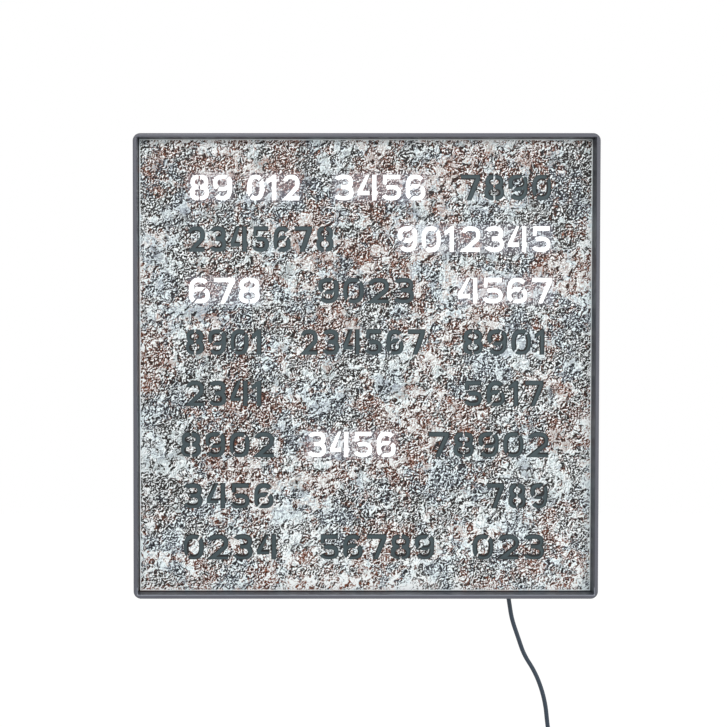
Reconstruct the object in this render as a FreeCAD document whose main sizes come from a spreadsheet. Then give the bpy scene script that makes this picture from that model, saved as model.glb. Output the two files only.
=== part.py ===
"""A square wall clock that tells the time with lit characters, hung on two screws.

The frame of the part: +Z up, the wall is the plane y = 0 and the clock faces -Y. The origin
lies on the wall, midway between the two hanging screws. Each piece is drawn about the clock's
own centre and its Placement lowers it to where it hangs. A depth is a distance from the wall.
"""

import FreeCAD
import Part
import math
import os
import Sketcher
from FreeCAD import Vector

# Driving dimensions, in millimetres, and angles in degrees

SIZES = {
    # whole clock
    "clock_width": 400.0,
    "clock_height": 400.0,
    "clock_depth": 32.0,
    "hook_rise": 137.0,
    "hook_spread": 200.0,
    # bezel frame
    "corner_radius": 6.5,
    "frame_wall": 2.5,
    "frame_back": 2.0,
    "land_width": 3.6,
    "land_round": 1.5,
    "opening_round": 0.6,
    "opening_corner": 0.8,
    "recess_depth": 10.0,
    "recess_draft": 2.9,
    "frame_boss_radius": 3.5,
    "frame_boss_inset": 3.8,
    "side_screw_rise": 120.0,
    "top_screw_spread": 240.0,
    "low_screw_spread": 320.0,
    # face and diffuser
    "sheet_clearance": 0.3,
    "face_thickness": 1.2,
    "diffuser_thickness": 1.5,
    # light box
    "light_box_margin": 26.0,
    "light_box_depth": 8.0,
    "light_box_floor": 1.2,
    "light_box_wall": 1.8,
    "first_row_rise": 154.5,
    "row_pitch": 44.5,
    "chamber_height": 28.0,
    "chamber_margin": 3.0,
    "chamber_radius": 3.0,
    "chamber_draft": 6.0,
    "lamp_slot_height": 6.0,
    # lamp strips
    "strip_height": 12.0,
    "strip_thickness": 1.0,
    "strip_end_gap": 2.0,
    "strip_screw_inset": 5.0,
    "led_length": 3.5,
    "led_height": 2.8,
    "led_rise": 0.8,
    "led_pitch": 16.0,
    # rear cover
    "cover_back": 3.0,
    "cover_thickness": 2.0,
    "cover_clearance": 0.3,
    "rib_thickness": 1.8,
    "stiffener_height": 3.5,
    "stiffener_inner": 38.0,
    "stiffener_outer": 140.0,
    "rib_end_margin": 12.0,
    "locator_clearance": 0.3,
    "locator_lap": 2.5,
    "locator_end_margin": 20.0,
    "cover_bevel": 0.6,
    "vent_length": 34.0,
    "vent_width": 2.4,
    "vent_corner": 1.1,
    "vent_pitch": 6.0,
    "vent_rise": 66.0,
    "vent_spread": 150.0,
    # keyholes
    "keyhole_entry_radius": 4.5,
    "keyhole_slot_width": 5.0,
    "keyhole_lift": 10.0,
    "keyhole_bevel": 0.5,
    "keyhole_box_width": 26.0,
    "keyhole_box_height": 27.0,
    "keyhole_box_depth": 6.0,
    "keyhole_box_wall": 1.5,
    # cord trough
    "exit_place": 127.5,
    "exit_width": 18.0,
    "trough_end": 137.0,
    "trough_corner": 2.0,
    "trough_room": 2.75,
    "trough_gap": 0.65,
    "trough_wall": 1.6,
    "trough_front_gap": 0.7,
    # control board
    "board_length": 130.0,
    "board_height": 22.0,
    "board_thickness": 1.6,
    "board_rise": 14.6,
    "board_end_gap": 4.0,
    "board_boss_radius": 2.5,
    "board_boss_inset": 0.1,
    # power socket and plug
    "socket_face": 66.0,
    "socket_length": 13.5,
    "socket_width": 9.0,
    "socket_height": 10.0,
    "socket_clearance": 0.1,
    "socket_bore_depth": 10.5,
    "socket_pin_radius": 1.0,
    "socket_pin_setback": 1.0,
    "socket_drop": 1.6,
    "plug_radius": 4.75,
    "plug_length": 20.0,
    "plug_barrel_radius": 2.75,
    "plug_barrel_clearance": 0.15,
    "plug_barrel_length": 9.5,
    "plug_gap": 0.2,
    "plug_bevel": 0.8,
    "plug_shoulder": 1.5,
    "plug_groove_pitch": 2.4,
    "plug_groove_floor": 0.8,
    "plug_groove_slope": 0.4,
    "plug_groove_depth": 0.6,
    "relief_length": 18.0,
    "relief_root_wall": 1.9,
    "relief_tip_wall": 0.6,
    # push buttons and switches
    "button_first": 8.0,
    "button_pitch": 13.0,
    "button_radius": 4.0,
    "button_proud": 0.6,
    "button_travel": 0.6,
    "button_flange_radius": 5.0,
    "button_flange_thickness": 1.0,
    "button_flange_gap": 0.3,
    "button_hole_gap": 0.3,
    "button_stem_radius": 2.0,
    "switch_side": 6.0,
    "switch_height": 3.4,
    "switch_reach": 1.2,
    "switch_bore_depth": 1.8,
    "plunger_radius": 1.7,
    "plunger_clearance": 0.05,
    "plunger_insert": 0.8,
    # backup cell and its door
    "cell_place": -30.0,
    "cell_radius": 6.25,
    "cell_thickness": 2.0,
    "cell_clearance": 0.15,
    "cell_holder_ends": 1.6,
    "cell_holder_wall": 0.85,
    "cell_holder_rise": 4.0,
    "cell_sink": 0.5,
    "door_width": 22.0,
    "door_height": 19.0,
    "door_thickness": 1.0,
    "door_lip": 2.0,
    "door_clearance": 0.3,
    "door_plug_depth": 1.0,
    "door_corner": 1.0,
    "door_grip_width": 8.0,
    "door_grip_height": 1.6,
    "door_grip_depth": 0.6,
    # parts on the boards
    "header_place": -52.0,
    "header_width": 16.0,
    "header_height": 6.0,
    "ribbon_width": 14.0,
    "ribbon_thickness": 0.6,
    "capacitor_place": 43.2,
    "capacitor_radius": 3.15,
    "capacitor_height": 7.7,
    "capacitor_edge": 0.5,
    "capacitor_crimp_rise": 1.6,
    "capacitor_crimp_depth": 0.3,
    "chip_place": -11.0,
    "chip_width": 7.5,
    "chip_height": 10.3,
    "chip_rise": 2.3,
    "chip_bevel": 0.3,
    "crystal_place": -4.0,
    "crystal_width": 3.2,
    "crystal_height": 8.0,
    "crystal_rise": 1.6,
    "crystal_corner": 1.4,
    # screws and bumpers
    "hole_clearance": 0.3,
    "pilot_clearance": 0.1,
    "rear_screw_head_radius": 2.7,
    "rear_screw_head_height": 1.6,
    "rear_screw_radius": 1.3,
    "rear_screw_length": 12.0,
    "strip_screw_head_radius": 2.2,
    "strip_screw_head_height": 1.3,
    "strip_screw_radius": 0.9,
    "strip_screw_length": 5.0,
    "board_screw_head_radius": 1.8,
    "board_screw_head_height": 0.9,
    "board_screw_radius": 0.75,
    "board_screw_length": 6.0,
    "bumper_radius": 6.0,
    "bumper_face_radius": 5.2,
    "bumper_inset": 25.0,
    # cord, coil and adapter
    "cord_diameter": 3.8,
    "coil_x": 156.5,
    "coil_drop": 377.9,
    "coil_depth": 5.0,
    "coil_outer_radius": 27.0,
    "coil_pitch": 4.4,
    "coil_turns_in_layer": 2.3,
    "coil_start_angle": 30.0,
    "tie_angle": 120.0,
    "tie_width": 6.0,
    "tie_thickness": 1.0,
    "tie_clearance": 0.3,
    "tie_corner": 1.5,
    "adapter_width": 38.0,
    "adapter_height": 60.0,
    "adapter_depth": 26.0,
    "adapter_corner": 7.0,
    "adapter_round": 3.5,
    "adapter_draft": 2.0,
    "adapter_seam": 0.4,
    "adapter_relief_length": 18.0,
    "adapter_relief_radius": 4.2,
    "adapter_ring_pitch": 4.0,
    "adapter_ring_slope": 0.5,
    "adapter_ring_floor": 1.0,
    "adapter_ring_depth": 0.6,
    "adapter_ring_taper": 0.45,
    "pin_radius": 2.0,
    "pin_length": 9.5,
    "pin_spread": 18.6,
    "pin_rise": 12.0,
    "pin_round": 0.8,
    "pin_core_radius": 1.2,
    "pin_clearance": 0.05,
    "sleeve_radius": 1.8,
    "sleeve_length": 9.5,
    "sleeve_root": 3.0,
}

# The groups of characters in each row, top row first: the left edge and the width of each

ROWS = (
    ((-151.7, 36.5), (-102.1, 45.2), (-27.3, 79.2), (82.3, 78.3)),
    ((-153.5, 126.1), (28.3, 132.3)),
    ((-152.6, 61.3), (-40.9, 83.1), (80.2, 81.8)),
    ((-155.2, 67.8), (-56.0, 107.9), (84.6, 73.3)),
    ((-155.2, 67.8), (85.4, 69.4)),
    ((-159.6, 80.9), (-50.2, 77.0), (55.1, 104.1)),
    ((-157.8, 78.7), (105.6, 53.2)),
    ((-157.3, 81.3), (-39.5, 100.0), (93.5, 62.4)),
)

# The cord's route from the plug to the coil, and from the coil to the adapter: x, depth, z

CORD_ROUTE = (
    (104.2, 11.6, -187.0),
    (113.4, 11.6, -187.0),
    (122.2, 11.0, -191.8),
    (127.2, 10.4, -200.3),
    (129.0, 9.8, -210.6),
    (131.2, 9.2, -224.2),
    (137.3, 8.6, -241.3),
    (142.3, 8.0, -256.0),
    (151.6, 7.4, -270.2),
    (158.0, 6.8, -285.2),
    (162.3, 6.2, -301.5),
    (164.0, 5.6, -318.0),
    (166.5, 5.2, -334.0),
)

# The cord's last run before the coil, its first after it, and the later ones with their slants

LEAD_RUN = 14.0
TAIL_RUN = 11.0
TAIL_SLANTS = ((11.0, 20.0), (10.5, 0.0))

# The share of the shorter run that a bend of the cord takes up

RUN_SHARE = 0.45

# The coil's layers, half the turn in which it reverses, and the points taken on each arc

LAYERS = 4
EASE = math.pi / 2
SAMPLES_IN_ARC = 18

# Counts of repeated features

VENTS_TO_A_SIDE = 3
PLUG_GROOVES = 3
RELIEF_RINGS = 3
LEAST_LAMPS = 2

# How far a cut runs past the face that it opens, and how near two places count as one

CUT_PAST = 1.0
SLACK = 0.02

FIRST_CELL_ROW = 2

doc = FreeCAD.newDocument("word_clock")
sheet = doc.addObject("Spreadsheet::Sheet", "sizes")


class Size:
    """A dimension: its value now, and the sheet expression that it follows."""

    def __init__(self, value, text):
        self.value = float(value)
        self.text = text

    def __add__(self, other):
        other = as_size(other)
        return Size(self.value + other.value, f"({self.text} + {other.text})")

    def __sub__(self, other):
        other = as_size(other)
        return Size(self.value - other.value, f"({self.text} - {other.text})")

    def __rsub__(self, other):
        return as_size(other) - self

    def __mul__(self, number):
        return Size(self.value * number, f"({self.text} * {number})")

    def __truediv__(self, number):
        return Size(self.value / number, f"({self.text} / {number})")

    def __neg__(self):
        return Size(-self.value, f"(-({self.text}))")

    __radd__ = __add__
    __rmul__ = __mul__


def as_size(value):
    """A plain number as a Size that follows no cell."""
    return value if isinstance(value, Size) else Size(value, f"({float(value)})")


def fill_sheet():
    """Writes every driving dimension into the sheet and returns each as a Size."""
    cells = dict(SIZES)
    for row, groups in enumerate(ROWS, 1):
        for place, (left, width) in enumerate(groups, 1):
            cells[f"row{row}_group{place}_left"] = left
            cells[f"row{row}_group{place}_width"] = width
    for line, (alias, value) in enumerate(cells.items(), FIRST_CELL_ROW):
        sheet.set(f"A{line}", alias)
        sheet.set(f"B{line}", str(value))
        sheet.setAlias(f"B{line}", alias)
    doc.recompute()
    return {alias: Size(sheet.get(alias), f"sizes.{alias}") for alias in cells}


S = fill_sheet()

# Places that several pieces share

half_width = S["clock_width"] / 2
half_height = S["clock_height"] / 2
face_front = S["clock_depth"] - S["recess_depth"]
face_rear = face_front - S["face_thickness"]
diffuser_rear = face_rear - S["diffuser_thickness"]
box_rear = diffuser_rear - S["light_box_depth"]
strip_rear = box_rear - S["strip_thickness"]
cover_inside = S["cover_back"] + S["cover_thickness"]
cover_half_width = half_width - S["frame_wall"] - S["cover_clearance"]
cover_half_height = half_height - S["frame_wall"] - S["cover_clearance"]
box_half_width = half_width - S["light_box_margin"]
chamber_half = S["chamber_height"] / 2
box_top = S["first_row_rise"] + chamber_half + S["light_box_wall"]
box_bottom = (
    S["first_row_rise"] - S["row_pitch"] * (len(ROWS) - 1) - chamber_half - S["light_box_wall"]
)
trough_floor = diffuser_rear - S["trough_front_gap"] - S["trough_wall"]
socket_depth = trough_floor - S["trough_gap"] - S["plug_radius"]
board_rear = socket_depth + S["socket_height"] / 2
board_front = board_rear + S["board_thickness"]
board_level = S["board_rise"] - half_height
board_right = S["socket_face"] - S["board_end_gap"]
board_left = board_right - S["board_length"]
socket_level = board_level - S["socket_drop"]
trough_top = socket_level + S["plug_radius"] + S["trough_room"]
trough_bottom = socket_level - S["plug_radius"] - S["trough_room"]
exit_left = S["exit_place"] - S["exit_width"] / 2
exit_right = S["exit_place"] + S["exit_width"] / 2
seat_level = S["hook_rise"]
entry_level = seat_level - S["keyhole_lift"]
boss_x = half_width - S["frame_wall"] - S["frame_boss_inset"]
boss_z = half_height - S["frame_wall"] - S["frame_boss_inset"]


def row_level(row):
    """The height of a row's centre line above the clock's centre."""
    return S["first_row_rise"] - S["row_pitch"] * row


def row_groups(row):
    """The left and right edges of each group of characters in a row."""
    for place in range(1, len(ROWS[row]) + 1):
        left = S[f"row{row + 1}_group{place}_left"]
        yield left, left + S[f"row{row + 1}_group{place}_width"]


def rear_screw_places():
    """The eight screws of the rear cover, beside the frame's walls."""
    for side in (-1, 1):
        yield boss_x * side, S["side_screw_rise"]
        yield boss_x * side, -S["side_screw_rise"]
        yield S["top_screw_spread"] * (side / 2), boss_z
        yield S["low_screw_spread"] * (side / 2), -boss_z


def strip_screw_places():
    """One screw near each end of each lamp strip."""
    reach = box_half_width - S["strip_end_gap"] - S["strip_screw_inset"]
    for row in range(len(ROWS)):
        for side in (-1, 1):
            yield reach * side, row_level(row)


def board_screw_places():
    """The four screws of the control board, on its bosses."""
    inset = S["board_boss_radius"] + S["board_boss_inset"]
    right = S["socket_face"] - S["socket_length"] - inset
    for x in (board_left + inset, right):
        for side in (-1, 1):
            yield x, board_level + (S["board_height"] / 2 - inset) * side


def button_places():
    """The three push buttons, in a line on the control board."""
    for place in range(3):
        yield S["button_first"] + S["button_pitch"] * place, board_level


def bumper_places():
    """The four rubber bumpers, near the rear cover's corners."""
    for x in (-1, 1):
        for z in (-1, 1):
            yield (half_width - S["bumper_inset"]) * x, (half_height - S["bumper_inset"]) * z


# Helpers that draw and build


def bind(obj, **sizes):
    """Ties properties to the sheet. A double underscore in a name stands for a dot."""
    for name, size in sizes.items():
        obj.setExpression(name.replace("__", "."), as_size(size).text)


def hang(obj, x=0.0, depth=0.0, z=0.0):
    """Places a piece: drawn about a point of the clock, and lowered to where it hangs."""
    bind(
        obj,
        Placement__Base__x=x,
        Placement__Base__y=-as_size(depth),
        Placement__Base__z=as_size(z) - S["hook_rise"],
    )
    return obj


def new_body(label):
    body = doc.addObject("PartDesign::Body", label)
    body.Label = label
    return body


class Outline:
    """A sketch on a body's own origin plane, moved along the plane's normal.

    On XZ_Plane a sketch has x to the right, z up, and its offset is a depth from the wall.
    """

    def __init__(self, body, name, plane="XZ_Plane", offset=0.0):
        self.sketch = body.newObject("Sketcher::SketchObject", name)
        origin = next(f for f in body.Origin.OriginFeatures if f.Role == plane)
        self.sketch.AttachmentSupport = [(origin, "")]
        self.sketch.MapMode = "FlatFace"
        bind(self.sketch, AttachmentOffset__Base__z=offset)

    def fix(self, kind, *where):
        """Adds a dimension whose last argument is its Size."""
        size = as_size(where[-1])
        number = self.sketch.addConstraint(Sketcher.Constraint(kind, *where[:-1], size.value))
        self.sketch.setExpression(f"Constraints[{number}]", size.text)

    def pin(self, edge, end, x, y):
        """Fixes one point of an edge from the sketch's origin."""
        self.fix("DistanceX", -1, 1, edge, end, x)
        self.fix("DistanceY", -1, 1, edge, end, y)

    def polygon(self, points):
        """A closed outline of straight edges."""
        corners = [Vector(as_size(x).value, as_size(y).value, 0) for x, y in points]
        ends = corners[1:] + corners[:1]
        edges = [
            self.sketch.addGeometry(Part.LineSegment(a, b)) for a, b in zip(corners, ends)
        ]
        for edge, following, (x, y) in zip(edges, edges[1:] + edges[:1], points):
            self.sketch.addConstraint(Sketcher.Constraint("Coincident", edge, 2, following, 1))
            self.pin(edge, 1, x, y)
        return self

    def rectangle(self, left, right, low, high):
        return self.polygon([(left, low), (right, low), (right, high), (left, high)])

    def rounded_rectangle(self, left, right, low, high, radius):
        """A rectangle with an equal arc at each corner, run anticlockwise from the low edge."""
        x0, x1, y0, y1, r = (as_size(v).value for v in (left, right, low, high, radius))
        straight = [
            ((x0 + r, y0), (x1 - r, y0)),
            ((x1, y0 + r), (x1, y1 - r)),
            ((x1 - r, y1), (x0 + r, y1)),
            ((x0, y1 - r), (x0, y0 + r)),
        ]
        centres = [(x1 - r, y0 + r), (x1 - r, y1 - r), (x0 + r, y1 - r), (x0 + r, y0 + r)]
        lines, arcs = [], []
        for quarter, ((a, b), centre) in enumerate(zip(straight, centres)):
            lines.append(self.sketch.addGeometry(Part.LineSegment(Vector(*a, 0), Vector(*b, 0))))
            round_corner = Part.Circle(Vector(*centre, 0), Vector(0, 0, 1), r)
            start = math.pi / 2 * (quarter - 1)
            arcs.append(
                self.sketch.addGeometry(
                    Part.ArcOfCircle(round_corner, start, start + math.pi / 2)
                )
            )
        add = self.sketch.addConstraint
        for quarter, (line, arc) in enumerate(zip(lines, arcs)):
            add(Sketcher.Constraint("Tangent", line, 2, arc, 1))
            add(Sketcher.Constraint("Tangent", arc, 2, lines[(quarter + 1) % 4], 1))
            add(Sketcher.Constraint("Vertical" if quarter % 2 else "Horizontal", line))
        for arc in arcs[1:]:
            add(Sketcher.Constraint("Equal", arcs[0], arc))
        self.fix("Radius", arcs[0], radius)
        self.fix("DistanceY", -1, 1, lines[0], 1, low)
        self.fix("DistanceX", -1, 1, lines[1], 1, right)
        self.fix("DistanceY", -1, 1, lines[2], 1, high)
        self.fix("DistanceX", -1, 1, lines[3], 1, left)
        return self

    def circle(self, x, y, radius):
        centre = Vector(as_size(x).value, as_size(y).value, 0)
        edge = self.sketch.addGeometry(
            Part.Circle(centre, Vector(0, 0, 1), as_size(radius).value)
        )
        self.pin(edge, 3, x, y)
        self.fix("Radius", edge, radius)
        return self


def pad(body, name, outline, length):
    """Adds the outline's material along its plane's normal: on XZ_Plane, towards the face."""
    feature = body.newObject("PartDesign::Pad", name)
    feature.Profile = outline.sketch
    bind(feature, Length=length)
    return feature


def pocket(body, name, outline, length, draft=None):
    """Cuts the outline away towards the face, or towards the wall when it has a draft.

    A draft is the angle at which a moulded hollow narrows as it goes deeper.
    """
    doc.recompute()
    before = body.Shape.Volume
    feature = body.newObject("PartDesign::Pocket", name)
    feature.Profile = outline.sketch
    feature.Reversed = draft is None
    bind(feature, Length=length)
    if draft is not None:
        bind(feature, TaperAngle=-draft)
    doc.recompute()
    if body.Shape.Volume >= before:
        raise RuntimeError(f"{body.Label}: {name} cuts nothing")
    return feature


def revolve(body, name, outline):
    """Turns a profile a full turn about its sketch's vertical axis."""
    feature = body.newObject("PartDesign::Revolution", name)
    feature.Profile = outline.sketch
    feature.ReferenceAxis = (outline.sketch, ["V_Axis"])
    feature.Angle = 360
    return feature


def soften(body, name, kind, size, wanted):
    """Rounds or bevels the edges of the body's last feature that `wanted` picks."""
    doc.recompute()
    base = body.Tip
    names = [
        f"Edge{number}"
        for number, edge in enumerate(base.Shape.Edges, 1)
        if wanted(edge.BoundBox)
    ]
    if not names:
        raise RuntimeError(f"{body.Label}: {name} finds no edge")
    feature = body.newObject(f"PartDesign::{kind}", name)
    feature.Base = (base, names)
    if kind == "Fillet":
        bind(feature, Radius=size)
    else:
        bind(feature, Size=size)
    doc.recompute()
    if "Invalid" in feature.State:
        raise RuntimeError(f"{body.Label}: {name} fails")
    return feature


def near(value, size):
    return abs(value - as_size(size).value) < SLACK


def at_depth(depth):
    """Picks the edges that lie flat at a depth from the wall."""
    level = -as_size(depth).value
    return lambda box: near(box.YMin, level) and near(box.YMax, level)


def reaches(box, x, z):
    """Whether an edge goes further out from the clock's centre than a width or a height."""
    wide = max(abs(box.XMin), abs(box.XMax))
    tall = max(abs(box.ZMin), abs(box.ZMax))
    return wide > x.value + SLACK or tall > z.value + SLACK


def block(label, width, height, from_depth, to_depth, x, z):
    """A plain box, given by its middle on the face and the two depths that it spans."""
    box = doc.addObject("Part::Box", label)
    box.Label = label
    bind(box, Length=width, Width=to_depth - from_depth, Height=height)
    return hang(box, as_size(x) - width / 2, to_depth, as_size(z) - height / 2)


def shape_node(label, shape):
    """A piece whose shape is made here from the sheet's sizes."""
    node = doc.addObject("Part::Feature", label)
    node.Label = label
    node.Shape = shape
    return hang(node)


def cylinder(radius, from_depth, to_depth, x, z):
    """A round bar square to the wall, between two depths."""
    length = as_size(to_depth).value - as_size(from_depth).value
    foot = Vector(as_size(x).value, -as_size(from_depth).value, as_size(z).value)
    return Part.makeCylinder(as_size(radius).value, length, foot, Vector(0, -1, 0))


# The outer pieces


def make_bezel_frame():
    """The moulded frame: a drafted recess in front, a pocket for the sheets, eight bosses."""
    body = new_body("bezel_frame")
    outer = Outline(body, "frame_outline", offset=S["frame_back"])
    outer.rounded_rectangle(
        -half_width, half_width, -half_height, half_height, S["corner_radius"]
    )
    pad(body, "frame_block", outer, S["clock_depth"] - S["frame_back"])

    cavity = Outline(body, "cavity_outline", offset=S["frame_back"])
    inner_x = half_width - S["frame_wall"]
    inner_z = half_height - S["frame_wall"]
    cavity.rounded_rectangle(
        -inner_x, inner_x, -inner_z, inner_z, S["corner_radius"] - S["frame_wall"]
    )
    pocket(body, "rear_cavity", cavity, face_front - S["frame_back"])

    mouth = Outline(body, "opening_outline", offset=S["clock_depth"])
    mouth_x = half_width - S["land_width"]
    mouth_z = half_height - S["land_width"]
    mouth.rounded_rectangle(-mouth_x, mouth_x, -mouth_z, mouth_z, S["opening_corner"])
    pocket(body, "face_opening", mouth, S["recess_depth"], draft=S["recess_draft"])

    in_front = at_depth(S["clock_depth"])
    soften(
        body, "land_round_outer", "Fillet", S["land_round"],
        lambda box: in_front(box) and reaches(box, mouth_x, mouth_z),
    )
    soften(
        body, "land_round_inner", "Fillet", S["opening_round"],
        lambda box: in_front(box) and not reaches(box, mouth_x, mouth_z),
    )

    webs = Outline(body, "boss_webs", offset=cover_inside)
    radius = S["frame_boss_radius"]
    wall_x = half_width - S["frame_wall"] / 2
    wall_z = half_height - S["frame_wall"] / 2
    for x, z in rear_screw_places():
        if abs(z.value) > abs(x.value):
            low, high = (z, wall_z) if z.value > 0 else (-wall_z, z)
            webs.rectangle(x - radius, x + radius, low, high)
        else:
            left, right = (x, wall_x) if x.value > 0 else (-wall_x, x)
            webs.rectangle(left, right, z - radius, z + radius)
    pad(body, "boss_web_blocks", webs, diffuser_rear - cover_inside)
    rounds = Outline(body, "boss_rounds", offset=cover_inside)
    pilots = Outline(body, "pilot_holes", offset=cover_inside)
    for x, z in rear_screw_places():
        rounds.circle(x, z, radius)
        pilots.circle(x, z, S["rear_screw_radius"] + S["pilot_clearance"])
    pad(body, "boss_posts", rounds, diffuser_rear - cover_inside)
    pocket(body, "boss_pilots", pilots, S["rear_screw_length"])

    notch = Outline(body, "cord_notch", plane="XY_Plane", offset=-half_height)
    notch.rectangle(exit_left, exit_right, -trough_floor, 0.0)
    pocket(body, "cord_exit", notch, S["frame_wall"])
    return hang(body)


def make_sheet(label, from_depth, to_depth):
    """A flat sheet that drops into the frame's rear pocket with a small clearance."""
    body = new_body(label)
    gap = S["frame_wall"] + S["sheet_clearance"]
    outline = Outline(body, label + "_outline", offset=from_depth)
    outline.rounded_rectangle(
        gap - half_width, half_width - gap, gap - half_height, half_height - gap,
        S["corner_radius"] - gap,
    )
    pad(body, label + "_sheet", outline, to_depth - from_depth)
    return hang(body)


def make_light_box():
    """The black moulded grid: a round-cornered chamber for each group, a lamp slot in its floor."""
    body = new_body("light_box")
    outline = Outline(body, "box_outline", offset=box_rear)
    outline.rounded_rectangle(
        -box_half_width, box_half_width, box_bottom, box_top, S["light_box_wall"]
    )
    pad(body, "box_block", outline, S["light_box_depth"])
    chamber_depth = S["light_box_depth"] - S["light_box_floor"]
    margin = S["chamber_margin"]
    for row in range(len(ROWS)):
        level = row_level(row)
        chambers = Outline(body, f"row_{row + 1}_chambers", offset=diffuser_rear)
        slots = Outline(body, f"row_{row + 1}_slots", offset=box_rear)
        for left, right in row_groups(row):
            chambers.rounded_rectangle(
                left - margin, right + margin, level - chamber_half, level + chamber_half,
                S["chamber_radius"],
            )
            half_slot = S["lamp_slot_height"] / 2
            slots.rectangle(left, right, level - half_slot, level + half_slot)
        pocket(
            body, f"row_{row + 1}_pockets", chambers, chamber_depth, draft=S["chamber_draft"]
        )
        pocket(body, f"row_{row + 1}_lamp_slots", slots, S["light_box_floor"])
    holes = Outline(body, "strip_screw_holes", offset=box_rear)
    for x, z in strip_screw_places():
        holes.circle(x, z, S["strip_screw_radius"])
    pocket(body, "strip_pilots", holes, S["strip_screw_length"])
    return hang(body)


def make_lamp_strip(row):
    """One narrow circuit board behind a row, with a screw hole near each end."""
    label = f"lamp_strip_{row + 1}"
    body = new_body(label)
    reach = box_half_width - S["strip_end_gap"]
    half = S["strip_height"] / 2
    outline = Outline(body, label + "_outline", offset=strip_rear)
    outline.rectangle(-reach, reach, row_level(row) - half, row_level(row) + half)
    for side in (-1, 1):
        hole_x = (reach - S["strip_screw_inset"]) * side
        outline.circle(hole_x, row_level(row), S["strip_screw_radius"] + S["hole_clearance"])
    pad(body, label + "_board", outline, S["strip_thickness"])
    return hang(body)


def make_leds(row):
    """The lamps of one row, evenly spaced along each of its groups."""
    length, height, rise = (S[name].value for name in ("led_length", "led_height", "led_rise"))
    lamps = []
    for left, right in row_groups(row):
        span = right.value - left.value
        count = max(LEAST_LAMPS, round(span / S["led_pitch"].value))
        for place in range(count):
            x = left.value + span * (place + 0.5) / count
            corner = Vector(x - length / 2, -box_rear.value - rise, row_level(row).value - height / 2)
            lamps.append(Part.makeBox(length, rise, height, corner))
    return shape_node(f"leds_{row + 1}", Part.makeCompound(lamps))


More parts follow.
